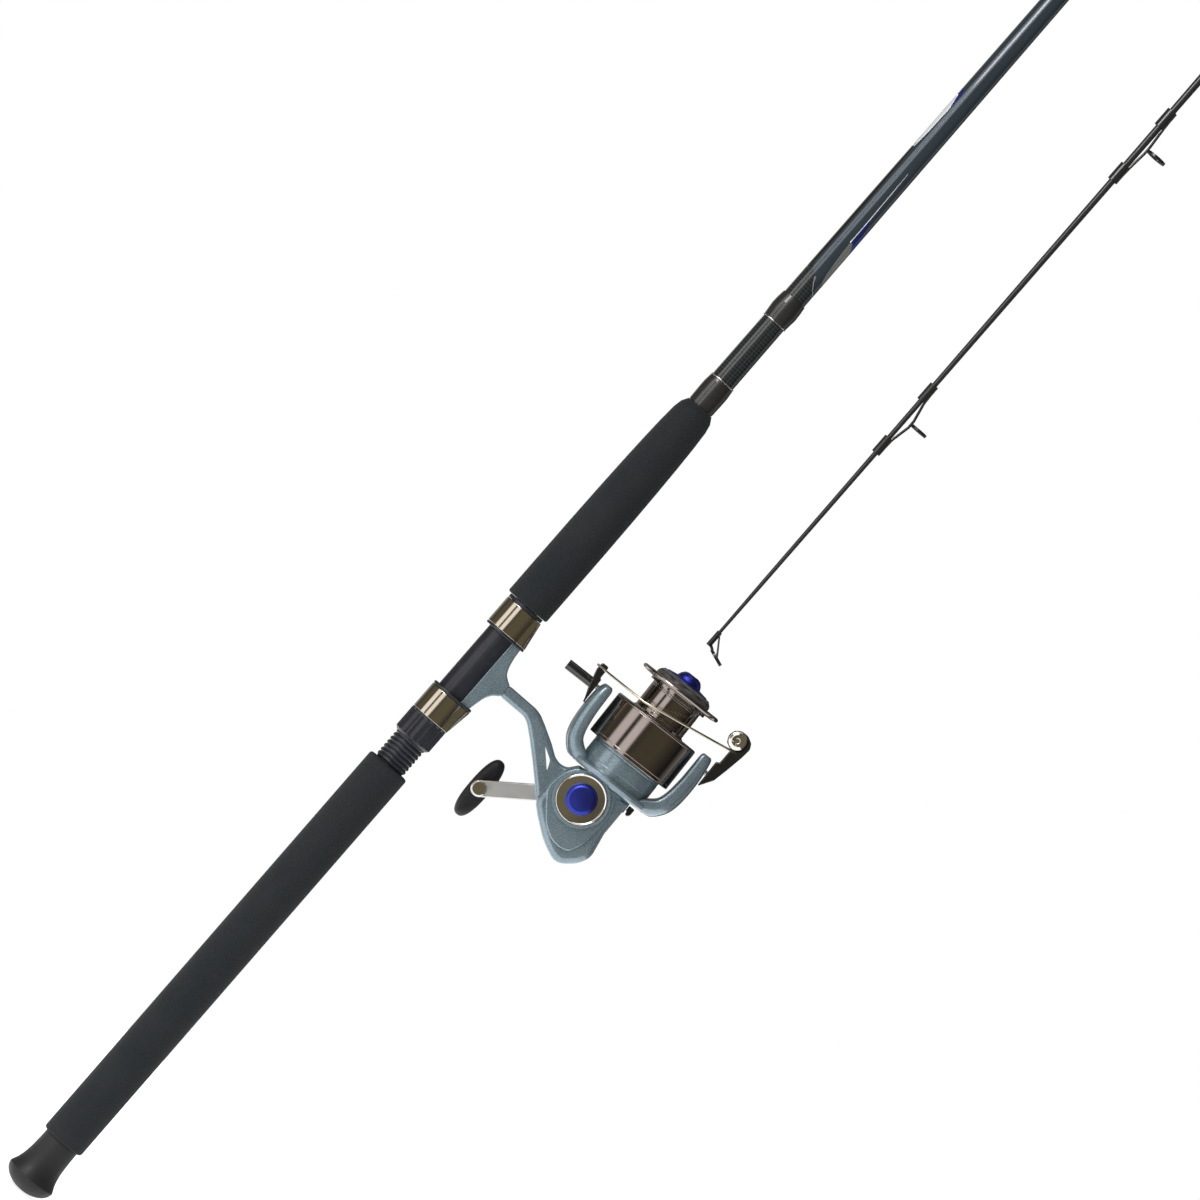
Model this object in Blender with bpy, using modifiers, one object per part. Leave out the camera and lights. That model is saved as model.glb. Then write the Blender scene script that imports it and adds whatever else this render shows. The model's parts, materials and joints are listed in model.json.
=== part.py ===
"""A two-piece spinning rod with its reel, broken down for carrying.

The butt section stands on its end cap with its axis on +Z. The reel hangs on the +X side and its
handle is on the +Y side. The tip section lies beside the butt section, tip downwards, as its own
piece. Lengths are in metres.
"""

import math

import bmesh
import bpy
from mathutils import Vector

# General fits
GAP = 0.0003  # between pieces that touch or slide on each other
ROUND_STEPS = 24  # facets round a large turned piece
SMALL_STEPS = 14  # facets round a small one
FACET_TURN = math.radians(5)  # keeps the edges of joined round pieces from meeting

# Butt cap
BUTT_CAP_LENGTH = 0.0469
BUTT_CAP_RADIUS = 0.0203
BUTT_CAP_NECK = 0.0145
BUTT_FACE_RADIUS = 0.006
BUTT_DOME_HEIGHT = 0.012
BUTT_CAP_FLOOR = 0.015

# Blank of the butt section, straight under the grips and then tapered
BLANK_RADIUS = 0.0099
BLANK_TOP_RADIUS = 0.0084
BLANK_TAPER_START = 0.78
BLANK_TOP = 1.195
BLANK_WALL = 0.0019
SPIGOT_RADIUS = 0.006
SPIGOT_LENGTH = 0.09
SPIGOT_REACH = 0.045

# Grips and seat
GRIP_RADIUS = 0.0176
GRIP_END_ROUND = 0.002
REAR_GRIP_LENGTH = 0.3733
SEAT_RADIUS = 0.0122
SEAT_LENGTH = 0.1574
SEAT_FLANGE_RADIUS = 0.0157
SEAT_FLANGE_LENGTH = 0.0029
THREAD_RADIUS = 0.0133
THREAD_PITCH = 0.0036
THREAD_TURNS = 12
NUT_RADIUS = 0.0161
NUT_LENGTH = 0.0214
NUT_START = 0.0247  # above the foot of the seat
NUT_FLUTES = 16
HOOD_RADIUS = 0.0159
HOOD_LENGTH = 0.0226
HOOD_RIM = 0.0022
HOOD_NARROW_REACH = 0.0166
HOOD_WIDE_REACH = 0.0199
HOOD_WIDTH = 0.0222
HOOD_STEPS = 32
FOREGRIP_RADIUS = 0.0186
FOREGRIP_LENGTH = 0.1978
FORE_WRAP_LENGTH = 0.0244
FORE_WRAP_RADIUS = 0.0112
TRIM_WIDTH = 0.0008
WEAVE_LENGTH = 0.0594
UPPER_WRAP_LENGTH = 0.0221

# Tip section
TIP_OFFSET = (0.1225, 0.048, 0.6458)
TIP_BLANK_START = 0.003
TIP_BLANK_LENGTH = 1.172
FERRULE_LENGTH = 0.09
FERRULE_GRIP = 0.025
FERRULE_WALL = 0.0020
GUIDE_PLACES = (0.227, 0.501, 0.82, 1.1)
GUIDE_RADII = (0.00715, 0.00835, 0.0145, 0.0195)
GUIDE_HEIGHTS = (0.0137, 0.0137, 0.0245, 0.0325)
GUIDE_FOOT_SPANS = (0.0262, 0.027, 0.034, 0.04)
GUIDE_RING_WALL = 0.0013
GUIDE_RING_WIDTH = 0.0024
GUIDE_INSERT_WALL = 0.0010
BINDING_LENGTH = 0.0155
BINDING_WALL = 0.0013
TIP_TOP_LENGTH = 0.0135
TIP_TOP_RADIUS = 0.0021
TIP_RING_RADIUS = 0.007
TIP_RING_HEIGHT = 0.0105
TIP_RING_DROP = 0.0032
TIP_RING_LEAN = math.radians(19.5)

# Reel: where its rotor axis meets the back of the rotor, and how far the axis leans to the rod
REEL_REACH = 0.1334
REEL_HEIGHT = 0.51675
REEL_TILT = math.radians(2.6)

# Rotor and bail, heights along the reel axis
ROTOR_RIM_RADIUS = 0.0362
ROTOR_RIM_LENGTH = 0.0055
ROTOR_CUP_RADIUS = 0.0296
ROTOR_CUP_FRONT = 0.052
ROTOR_CUP_WALL = 0.0026
ROTOR_FLOOR_LOW = 0.007
ROTOR_FLOOR_HIGH = 0.011
ROTOR_ARM_RADIUS = 0.0523
ROTOR_ARM_FRONTS = (0.0593, 0.0640)
ROTOR_ARM_WIDTH = 0.030
BAIL_PIVOT = 0.053
BAIL_ARM_WIDTH = 0.011
BAIL_SCREW_RADIUS = 0.0020
BAIL_HEAD_RADIUS = 0.0038
BAIL_WIRE_RADIUS = 0.0009
BAIL_HALF_SPAN = 0.0618
BAIL_DEPTH = 0.0745
WIRE_HEIGHT = 0.0668
WIRE_RISE = 0.155
WIRE_RISE_START = -0.018
ROLLER_REACH = 0.0556
ROLLER_HEIGHT = 0.0866
ROLLER_RADIUS = 0.0055
ROLLER_WIDTH = 0.008
ROLLER_PIN_RADIUS = 0.0022
ROLLER_COVER_RADIUS = 0.0075
ROLLER_COVER_THICKNESS = 0.0034

# Spool, shaft and drag
SPOOL_BACK = 0.02475
SPOOL_SHOULDER = 0.0606
SPOOL_FRONT = 0.0903
SPOOL_SKIRT_RADIUS = 0.0364
SPOOL_SKIRT_WALL = 0.0024
SPOOL_ARBOR_RADIUS = 0.02175
SPOOL_LIP_RADIUS = 0.0353
DRAG_POCKET_RADIUS = 0.0170
DRAG_POCKET_FLOOR = 0.068
DRAG_KNOB_RADIUS = 0.0242
DRAG_KNOB_START = 0.0843
DRAG_KNOB_FRONT = 0.0964
DRAG_KNOB_NOTCHES = 10
DRAG_INSERT_RADIUS = 0.01875
DRAG_INSERT_FRONT = 0.1044
SHAFT_RADIUS = 0.003
SHAFT_BACK = -0.054

# Gear train
PINION_RADIUS = 0.0046
PINION_BACK = -0.0165
GEAR_AXIS_REACH = 0.12525
GEAR_AXIS_HEIGHT = 0.4965
GEAR_RADIUS = 0.0142
GEAR_THICKNESS = 0.0035
GEAR_SHAFT_RADIUS = 0.0045
SHANK_RADIUS = 0.003
SHANK_COLLAR_RADIUS = 0.0068
OSCILLATION_PINION_RADIUS = 0.0064
OSCILLATION_GEAR_RADIUS = 0.0105
OSCILLATION_DIRECTION = math.radians(-52)
OSCILLATION_THROW = 0.0072
BEARING_RADIUS = 0.0085
BEARING_WIDTH = 0.004
PINION_BEARING_RADIUS = 0.010
CLUTCH_RADIUS = 0.0165

# Reel body
COVER_LEFT = -0.019
COVER_ROUNDING = 0.005
PARTING = -0.008  # the plane across Y where the side cover meets the body
PANEL_RAISE = 0.002
BODY_RIGHT = 0.018
BODY_WALL = 0.0032
BODY_ROUNDING = 0.007
ROTOR_GAP = 0.0008  # between the body's front and the rotor's back
COLLAR_RADIUS = 0.0220
STEM_WIDTH = 0.013
FOOT_WIDTH = 0.016
DISH_RADIUS = 0.01935
DISH_HOLLOW_RADIUS = 0.013
DISH_RING_RADIUS = 0.02235
CAP_RADIUS = 0.0114
BOSS_RADIUS = 0.0125
BOSS_END = 0.0242

# Handle
HANDLE_ARM_START = 0.0705  # outside the sweep of the rotor and the bail wire
HANDLE_ARM_THICKNESS = 0.0045
HANDLE_ARM_WIDTH = 0.013
HANDLE_KNOB_AXIS = (0.0626, 0.4494)
KNOB_LENGTH = 0.0528
KNOB_THICKNESS = 0.0169
KNOB_DEPTH = 0.026
KNOB_CLEARANCE = 0.0017
KNOB_START = HANDLE_ARM_START + HANDLE_ARM_THICKNESS + KNOB_CLEARANCE
KNOB_STEPS = 28
SPINDLE_RADIUS = 0.0025
SPINDLE_HEAD_RADIUS = 0.0058

LOOKS = {
    "rubber": ((0.012, 0.013, 0.015), 0.75, 0.0),
    "foam": ((0.018, 0.020, 0.023), 0.9, 0.0),
    "carbon": ((0.020, 0.022, 0.026), 0.25, 0.0),
    "black_gloss": ((0.010, 0.010, 0.012), 0.15, 0.0),
    "seat_black": ((0.022, 0.024, 0.032), 0.4, 0.0),
    "nickel": ((0.60, 0.57, 0.52), 0.12, 1.0),
    "silver_trim": ((0.75, 0.76, 0.78), 0.2, 1.0),
    "slate_paint": ((0.14, 0.19, 0.22), 0.3, 0.4),
    "slate_blank": ((0.055, 0.075, 0.10), 0.25, 0.2),
    "spool_metal": ((0.10, 0.09, 0.095), 0.15, 1.0),
    "chrome": ((0.80, 0.80, 0.80), 0.06, 1.0),
    "blue_anodised": ((0.03, 0.035, 0.40), 0.25, 0.8),
    "drag_grey": ((0.12, 0.12, 0.12), 0.45, 0.3),
    "bail_wire": ((0.45, 0.42, 0.33), 0.2, 1.0),
    "brass": ((0.72, 0.52, 0.22), 0.3, 1.0),
    "steel": ((0.55, 0.56, 0.58), 0.25, 1.0),
    "satin_silver": ((0.70, 0.70, 0.70), 0.3, 0.9),
    "ceramic": ((0.03, 0.03, 0.035), 0.12, 0.0),
    "felt": ((0.10, 0.09, 0.08), 0.9, 0.0),
}

UPRIGHT = (math.pi / 2, 0, 0)  # stands a flat outline up: its (x, y) become (X, Z)
ACROSS = (-math.pi / 2, 0, 0)  # lays a turned piece's axis along +Y
ALONG_X = (0, math.pi / 2, 0)  # lays a turned piece's axis along +X


# Building blocks


def clear_scene():
    for obj in list(bpy.data.objects):
        bpy.data.objects.remove(obj)


def collection(name):
    group = bpy.data.collections.new(name)
    bpy.context.scene.collection.children.link(group)
    return group


def material(look):
    found = bpy.data.materials.get(look)
    if found:
        return found
    colour, roughness, metallic = LOOKS[look]
    made = bpy.data.materials.new(look)
    made.use_nodes = True
    shader = made.node_tree.nodes["Principled BSDF"]
    shader.inputs["Base Color"].default_value = (*colour, 1)
    shader.inputs["Roughness"].default_value = roughness
    shader.inputs["Metallic"].default_value = metallic
    return made


def frame(name, parent=None, at=(0, 0, 0), turn=(0, 0, 0)):
    """An empty that carries pieces, at a joint's axis or a sub-assembly's own origin."""
    empty = bpy.data.objects.new(name, None)
    PARTS.objects.link(empty)
    empty.parent = parent
    empty.location = at
    empty.rotation_euler = turn
    return empty


def place(name, data, look, parent, at, turn):
    """Links a piece, or a cutter where look is None."""
    obj = bpy.data.objects.new(name, data)
    obj.parent = parent
    obj.location = at
    obj.rotation_euler = turn
    if look is None:
        CUTTERS.objects.link(obj)
        obj.hide_render = True
        obj.display_type = "WIRE"
    else:
        PARTS.objects.link(obj)
        data.materials.append(material(look))
    return obj


def turned(name, look, profile, parent=None, at=(0, 0, 0), turn=(0, 0, 0), steps=ROUND_STEPS):
    """A turned piece about local Z. Its (radius, height) profile runs down the outer side."""
    mesh = bpy.data.meshes.new(name)
    closed = min(profile[0][0], profile[-1][0]) > 0
    count = len(profile)
    edges = [(i, (i + 1) % count) for i in range(count if closed else count - 1)]
    mesh.from_pydata([(radius, 0, height) for radius, height in profile], edges, [])
    obj = place(name, mesh, look, parent, at, turn)
    screw = obj.modifiers.new("Turn", "SCREW")
    screw.axis = "Z"
    screw.steps = steps
    screw.render_steps = steps
    screw.use_merge_vertices = True
    screw.merge_threshold = 0.00001
    screw.use_smooth_shade = True
    return obj


def rod_profile(radius, low, high):
    return [(0, high), (radius, high), (radius, low), (0, low)]


def ring_profile(radius, bore, low, high):
    return [(radius, high), (radius, low), (bore, low), (bore, high)]


def evaluated_mesh(obj):
    """The mesh that an object's modifiers or curve make, with coincident points welded."""
    graph = bpy.context.evaluated_depsgraph_get()
    mesh = bpy.data.meshes.new_from_object(obj.evaluated_get(graph))
    work = bmesh.new()
    work.from_mesh(mesh)
    bmesh.ops.remove_doubles(work, verts=work.verts, dist=0.000005)
    bmesh.ops.recalc_face_normals(work, faces=work.faces)
    work.to_mesh(mesh)
    work.free()
    return mesh


def mesh_from_curve(curve):
    sketch = bpy.data.objects.new("sketch", curve)
    bpy.context.scene.collection.objects.link(sketch)
    mesh = evaluated_mesh(sketch)
    bpy.data.objects.remove(sketch)
    mesh.materials.clear()
    return mesh


def flat(name, look, outline, depth, parent=None, at=(0, 0, 0), turn=UPRIGHT, rounding=0.0):
    """An outline given a thickness, centred on its plane, with its edges rounded over."""
    curve = bpy.data.curves.new(name, "CURVE")
    curve.dimensions = "2D"
    curve.fill_mode = "BOTH"
    curve.extrude = depth / 2 - rounding
    curve.bevel_depth = rounding
    curve.bevel_resolution = 2
    curve.offset = -rounding
    spline = curve.splines.new("POLY")
    spline.points.add(len(outline) - 1)
    for point, (x, y) in zip(spline.points, outline):
        point.co = (x, y, 0, 1)
    spline.use_cyclic_u = True
    return place(name, mesh_from_curve(curve), look, parent, at, turn)


def tube(name, look, points, radius, parent=None, at=(0, 0, 0), turn=(0, 0, 0)):
    """A round bar along points."""
    curve = bpy.data.curves.new(name, "CURVE")
    curve.dimensions = "3D"
    curve.bevel_depth = radius
    curve.bevel_resolution = 2
    curve.use_fill_caps = True
    spline = curve.splines.new("POLY")
    spline.points.add(len(points) - 1)
    for point, place_at in zip(spline.points, points):
        point.co = (*place_at, 1)
    return place(name, mesh_from_curve(curve), look, parent, at, turn)


def ball(name, look, radius, parent=None, at=(0, 0, 0)):
    mesh = bpy.data.meshes.new(name)
    work = bmesh.new()
    bmesh.ops.create_uvsphere(work, u_segments=16, v_segments=10, radius=radius)
    work.to_mesh(mesh)
    work.free()
    return place(name, mesh, look, parent, at, (0, 0, 0))


def block(name, look, size, parent=None, at=(0, 0, 0), turn=(0, 0, 0)):
    mesh = bpy.data.meshes.new(name)
    work = bmesh.new()
    bmesh.ops.create_cube(work, size=1)
    bmesh.ops.scale(work, vec=size, verts=work.verts)
    work.to_mesh(mesh)
    work.free()
    return place(name, mesh, look, parent, at, turn)


def loft(name, look, sections, parent=None, at=(0, 0, 0), turn=(0, 0, 0)):
    """A skin over closed sections with equal numbers of points, and flat ends."""
    mesh = bpy.data.meshes.new(name)
    work = bmesh.new()
    rings = [[work.verts.new(point) for point in section] for section in sections]
    for first, second in zip(rings, rings[1:]):
        for i in range(len(first)):
            work.faces.new((first[i - 1], first[i], second[i], second[i - 1]))
    work.faces.new(rings[0])
    work.faces.new(rings[-1])
    bmesh.ops.recalc_face_normals(work, faces=work.faces)
    work.to_mesh(mesh)
    work.free()
    return place(name, mesh, look, parent, at, turn)


def shape(obj, operation, other):
    step = obj.modifiers.new(operation.title(), "BOOLEAN")
    step.operation = operation
    step.object = other
    step.solver = "EXACT"


def join(obj, *others):
    for other in others:
        shape(obj, "UNION", other)


def cut(obj, *others):
    for other in others:
        shape(obj, "DIFFERENCE", other)


def flute(obj, count, depth, inner, low, high):
    """Presses evenly spaced flutes into a turned piece beyond radius inner, between two heights."""
    mesh = evaluated_mesh(obj)
    for vertex in mesh.vertices:
        radius = math.hypot(vertex.co.x, vertex.co.y)
        if radius > inner and low <= vertex.co.z <= high:
            angle = math.atan2(vertex.co.y, vertex.co.x)
            scale = 1 - depth * (1 - math.cos(count * angle)) / 2 / radius
            vertex.co.x *= scale
            vertex.co.y *= scale
    obj.modifiers.clear()
    obj.data = mesh


def arc(centre, radius, start, end, steps):
    """Points on a circle, with its angles in degrees."""
    angles = [math.radians(start + (end - start) * i / steps) for i in range(steps + 1)]
    return [(centre[0] + radius * math.cos(a), centre[1] + radius * math.sin(a)) for a in angles]


def inset(outline, distance):
    """The outline moved inwards by distance, with its corners kept sharp."""
    points = [Vector(p) for p in outline]
    area = sum(a.cross(b) for a, b in zip(points, points[1:] + points[:1]))
    side = distance if area > 0 else -distance
    result = []
    for i, point in enumerate(points):
        before = (point - points[i - 1]).normalized()
        after = (points[(i + 1) % len(points)] - point).normalized()
        normal = Vector((-before.y - after.y, before.x + after.x)).normalized()
        result.append(point + normal * side / normal.dot(Vector((-after.y, after.x))))
    return [(p.x, p.y) for p in result]


# Butt section of the rod

REAR_GRIP_BOTTOM = BUTT_CAP_LENGTH + GAP
SEAT_BOTTOM = REAR_GRIP_BOTTOM + REAR_GRIP_LENGTH + GAP
SEAT_TOP = SEAT_BOTTOM + SEAT_LENGTH
NUT_BOTTOM = SEAT_BOTTOM + NUT_START
SLIDING_HOOD_BOTTOM = NUT_BOTTOM + NUT_LENGTH + GAP
SLIDING_RIM_BOTTOM = SLIDING_HOOD_BOTTOM + HOOD_LENGTH
FOOT_WINDOW_LOW = SLIDING_RIM_BOTTOM + HOOD_RIM + GAP
FIXED_HOOD_TOP = SEAT_TOP - SEAT_FLANGE_LENGTH - GAP
FIXED_RIM_TOP = FIXED_HOOD_TOP - HOOD_LENGTH
FOOT_WINDOW_HIGH = FIXED_RIM_TOP - HOOD_RIM
FOREGRIP_BOTTOM = SEAT_TOP + GAP
FOREGRIP_TOP = FOREGRIP_BOTTOM + FOREGRIP_LENGTH
FORE_WRAP_BOTTOM = FOREGRIP_TOP + GAP
LOWER_TRIM_BOTTOM = FORE_WRAP_BOTTOM + FORE_WRAP_LENGTH + GAP
UPPER_TRIM_BOTTOM = LOWER_TRIM_BOTTOM + WEAVE_LENGTH
UPPER_WRAP_BOTTOM = UPPER_TRIM_BOTTOM + TRIM_WIDTH + GAP
BLANK_BORE = BLANK_RADIUS + GAP
FOOT_INSERTION = 0.0105
FOOT_BOTTOM = FOOT_WINDOW_LOW - FOOT_INSERTION
FOOT_TOP = FOOT_WINDOW_HIGH + FOOT_INSERTION
FOOT_END_REACH = 0.0152
FOOT_MID_REACH = 0.0176


def blank_radius(height):
    """Outer radius of the butt section's blank at a height."""
    share = max(0, (height - BLANK_TAPER_START) / (BLANK_TOP - BLANK_TAPER_START))
    return BLANK_RADIUS + (BLANK_TOP_RADIUS - BLANK_RADIUS) * share


def make_butt_cap():
    start = math.asin(BUTT_FACE_RADIUS / BUTT_CAP_RADIUS)
    dome = []
    for i in range(9):
        angle = start + (math.pi / 2 - start) * (1 - i / 8)
        height = BUTT_DOME_HEIGHT * (1 - math.cos(angle) / math.cos(start))
        dome.append((BUTT_CAP_RADIUS * math.sin(angle), height))
    waist = []
    flare_length = 0.0095
    for i in range(8):
        height = BUTT_CAP_LENGTH - (BUTT_CAP_LENGTH - BUTT_DOME_HEIGHT - 0.001) * i / 8
        flare = math.exp(-(height - BUTT_DOME_HEIGHT) / flare_length)
        waist.append((BUTT_CAP_NECK + (BUTT_CAP_RADIUS - BUTT_CAP_NECK) * flare, height))
    bore = [(0, BUTT_CAP_FLOOR), (BLANK_BORE, BUTT_CAP_FLOOR), (BLANK_BORE, BUTT_CAP_LENGTH)]
    turned("butt_cap", "rubber", bore + waist + dome + [(0, 0)])


def make_blank():
    low = BUTT_CAP_FLOOR + GAP
    outer = [(BLANK_TOP_RADIUS, BLANK_TOP), (BLANK_RADIUS, BLANK_TAPER_START), (BLANK_RADIUS, low)]
    inner = [(radius - BLANK_WALL, height) for radius, height in reversed(outer)]
    turned("butt_blank", "carbon", outer + inner)
    spigot_low = BLANK_TOP + SPIGOT_REACH - SPIGOT_LENGTH
    spigot_high = BLANK_TOP + SPIGOT_REACH
    nose = 0.001
    profile = [(0, spigot_high), (SPIGOT_RADIUS - nose, spigot_high), (SPIGOT_RADIUS, spigot_high - nose)]
    turned("spigot", "carbon", profile + [(SPIGOT_RADIUS, spigot_low), (0, spigot_low)])


def make_grips():
    low, high = REAR_GRIP_BOTTOM, REAR_GRIP_BOTTOM + REAR_GRIP_LENGTH
    round_off = GRIP_END_ROUND
    outer = arc((GRIP_RADIUS - round_off, high - round_off), round_off, 90, 0, 3)
    outer += arc((GRIP_RADIUS - round_off, low + round_off), round_off, 0, -90, 3)
    turned("rear_grip", "foam", outer + [(BLANK_BORE, low), (BLANK_BORE, high)])

    low, high = FOREGRIP_BOTTOM, FOREGRIP_TOP
    nose, shoulder = 0.0112, 0.0143
    profile = [(nose, high), (shoulder, high - 0.0052)]
    for i in range(1, 7):
        share = (i / 7) ** 1.6
        swell = math.sin(math.pi / 2 * (i / 7)) ** 0.75
        height = high - 0.0052 - (FOREGRIP_LENGTH - 0.04) * share
        profile.append((shoulder + (FOREGRIP_RADIUS - shoulder) * swell, height))
    profile += [(FOREGRIP_RADIUS, low + 0.03), (FOREGRIP_RADIUS, low + 0.001)]
    profile += [(FOREGRIP_RADIUS - 0.001, low), (BLANK_BORE, low), (BLANK_BORE, high)]
    turned("foregrip", "foam", profile)


def make_seat():
    flange_low = SEAT_TOP - SEAT_FLANGE_LENGTH
    profile = [(SEAT_FLANGE_RADIUS, SEAT_TOP), (SEAT_FLANGE_RADIUS, flange_low), (SEAT_RADIUS, flange_low)]
    thread_top = SEAT_BOTTOM + (THREAD_TURNS + 0.25) * THREAD_PITCH
    profile.append((SEAT_RADIUS, thread_top))
    for i in range(THREAD_TURNS):
        height = thread_top - i * THREAD_PITCH
        profile.append((THREAD_RADIUS, height - 0.3 * THREAD_PITCH))
        profile.append((THREAD_RADIUS, height - 0.7 * THREAD_PITCH))
        profile.append((SEAT_RADIUS, height - THREAD_PITCH))
    profile += [(SEAT_RADIUS, SEAT_BOTTOM), (BLANK_BORE, SEAT_BOTTOM), (BLANK_BORE, SEAT_TOP)]
    turned("seat_barrel", "seat_black", profile, steps=16)


def make_nut(parent):
    chamfer = 0.0022
    bore = THREAD_RADIUS + GAP
    profile = [(NUT_RADIUS, NUT_LENGTH), (NUT_RADIUS, NUT_LENGTH - 0.0015), (NUT_RADIUS, chamfer)]
    profile += [(NUT_RADIUS - chamfer, 0), (bore, 0), (bore, NUT_LENGTH)]
    nut = turned("seat_nut", "seat_black", profile, parent, steps=4 * NUT_FLUTES)
    flute(nut, NUT_FLUTES, 0.0008, NUT_RADIUS - 0.0002, 0.0018, NUT_LENGTH - 0.001)


def hood_section(reach, height):
    """A hood's outline at a height: round, and drawn out to reach over the foot."""
    points = []
    for i in range(HOOD_STEPS):
        angle = 2 * math.pi * (i + 0.5) / HOOD_STEPS
        radius = HOOD_RADIUS
        if math.cos(angle) > 0:
            bluntness = (math.cos(angle) / reach) ** 6 + abs(math.sin(angle) / (HOOD_WIDTH / 2)) ** 6
            radius = max(HOOD_RADIUS, bluntness ** (-1 / 6))
        points.append((radius * math.cos(angle), radius * math.sin(angle), height))
    return points


def make_hood(name, look, low, high, reach_low, reach_high):
    """One hood, or its rim: a collar on the seat that is drawn out over one end of the foot."""
    shell = loft(name, look, [hood_section(reach_low, low), hood_section(reach_high, high)])
    bore = rod_profile(THREAD_RADIUS + GAP, low - 0.01, high + 0.01)
    edge, middle = FOOT_END_REACH + GAP, FOOT_MID_REACH + GAP
    pocket = [(0.002, FOOT_BOTTOM - GAP), (edge, FOOT_BOTTOM - GAP), (middle, FOOT_WINDOW_LOW)]
    pocket += [(middle, FOOT_WINDOW_HIGH), (edge, FOOT_TOP + GAP), (0.002, FOOT_TOP + GAP)]
    cut(shell, turned(name + "_bore", None, bore, steps=24))
    cut(shell, flat(name + "_pocket", None, pocket, FOOT_WIDTH + 2 * GAP))


def make_trim():
    ends = blank_radius(FORE_WRAP_BOTTOM) + 0.0010
    profile = [(ends - 0.0004, FORE_WRAP_BOTTOM + FORE_WRAP_LENGTH)]
    profile += [(FORE_WRAP_RADIUS, FORE_WRAP_BOTTOM + FORE_WRAP_LENGTH * share) for share in (0.72, 0.45)]
    profile += [(ends, FORE_WRAP_BOTTOM), (BLANK_BORE, FORE_WRAP_BOTTOM)]
    turned("fore_wrap", "black_gloss", profile + [(BLANK_BORE, FORE_WRAP_BOTTOM + FORE_WRAP_LENGTH)])
    for name, low in (("lower_trim_ring", LOWER_TRIM_BOTTOM), ("upper_trim_ring", UPPER_TRIM_BOTTOM)):
        bore = blank_radius(low) + GAP
        turned(name, "silver_trim", ring_profile(bore + 0.0006, bore, low, low + TRIM_WIDTH), steps=24)
    bore = blank_radius(UPPER_WRAP_BOTTOM) + GAP
    top = UPPER_WRAP_BOTTOM + UPPER_WRAP_LENGTH
    profile = [(bore + 0.0003, top), (bore + 0.0010, top - 0.006), (bore + 0.0013, top - 0.012)]
    profile += [(bore + 0.0003, UPPER_WRAP_BOTTOM), (bore, UPPER_WRAP_BOTTOM), (bore, top)]
    turned("upper_wrap", "black_gloss", profile)


# Tip section of the rod

TIP_TAPER = ((0.0, 0.0012), (0.062, 0.0016), (0.227, 0.00205), (0.535, 0.0028), (0.85, 0.0047))
TIP_TAPER += ((1.1, 0.0063), (1.24, 0.0068))


def tip_radius(distance):
    """Radius of the tip section's blank at a distance from its tip."""
    for (start, low), (end, high) in zip(TIP_TAPER, TIP_TAPER[1:]):
        if distance <= end:
            return low + (high - low) * (distance - start) / (end - start)
    return TIP_TAPER[-1][1]


def make_tip_blank(tip):
    end = TIP_BLANK_START + TIP_BLANK_LENGTH
    places = [end] + [d for d, _ in reversed(TIP_TAPER) if TIP_BLANK_START < d < end] + [TIP_BLANK_START]
    profile = [(0, end)] + [(tip_radius(d), d) for d in places] + [(0, TIP_BLANK_START)]
    turned("tip_blank", "slate_blank", profile, tip, steps=SMALL_STEPS)
    low = end - FERRULE_GRIP
    high = low + FERRULE_LENGTH
    grip_bore = tip_radius(end) + GAP
    socket = SPIGOT_RADIUS + GAP
    outer = grip_bore + FERRULE_WALL - 0.0006
    profile = [(outer + 0.0006, high), (outer + 0.0006, high - 0.012), (outer, high - 0.016), (outer, low)]
    profile += [(grip_bore, low), (grip_bore, end + GAP), (socket, end + GAP), (socket, high)]
    turned("ferrule_sleeve", "slate_blank", profile, tip, steps=24)


def make_guide(index, tip):
    """A double-footed guide: a ring over the blank, two struts, and bindings that hold its feet."""
    distance, radius = GUIDE_PLACES[index], GUIDE_RADII[index]
    height, span = GUIDE_HEIGHTS[index], GUIDE_FOOT_SPANS[index]
    name = f"guide_{index + 1}"
    ring_bore = radius - GUIDE_RING_WALL
    half = GUIDE_RING_WIDTH / 2
    at = (height, 0, distance)
    profile = ring_profile(radius, ring_bore, -half, half)
    body = turned(name + "_frame", "chrome", profile, tip, at, (0, 0, FACET_TURN), steps=20)
    head = height - radius - 0.0004
    bar = []
    for side in (-1, 1):
        foot = tip_radius(distance + side * span) + BINDING_WALL * 0.4
        reach = [(foot, span + 0.001), (foot + 0.0004, span - BINDING_LENGTH * 0.5), (head, span * 0.12)]
        leg = [(x, 0, distance + side * z) for x, z in reach]
        bar += leg if side < 0 else reversed(leg)
    join(body, tube(name + "_bar", None, bar, 0.0011, tip))
    for side, label in ((-1, "low"), (1, "high")):
        low = distance + side * span - BINDING_LENGTH / 2
        bore = tip_radius(low + BINDING_LENGTH) + GAP
        profile = rod_profile(bore + BINDING_WALL, low, low + BINDING_LENGTH)
        turn = (0, 0, FACET_TURN)
        join(body, turned(f"{name}_{label}_binding", None, profile, tip, turn=turn, steps=SMALL_STEPS))
    for side, label in ((-1, "low"), (1, "high")):
        low = distance + side * span - BINDING_LENGTH / 2
        high = low + BINDING_LENGTH
        profile = rod_profile(tip_radius(high) + GAP, low - 0.004, high + 0.004)
        cut(body, turned(f"{name}_{label}_bore", None, profile, tip, steps=SMALL_STEPS))
    insert = ring_bore - GAP
    profile = ring_profile(insert, insert - GUIDE_INSERT_WALL, -half * 0.8, half * 0.8)
    turned(name + "_ring", "ceramic", profile, tip, at, (0, 0, FACET_TURN), steps=20)


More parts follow.
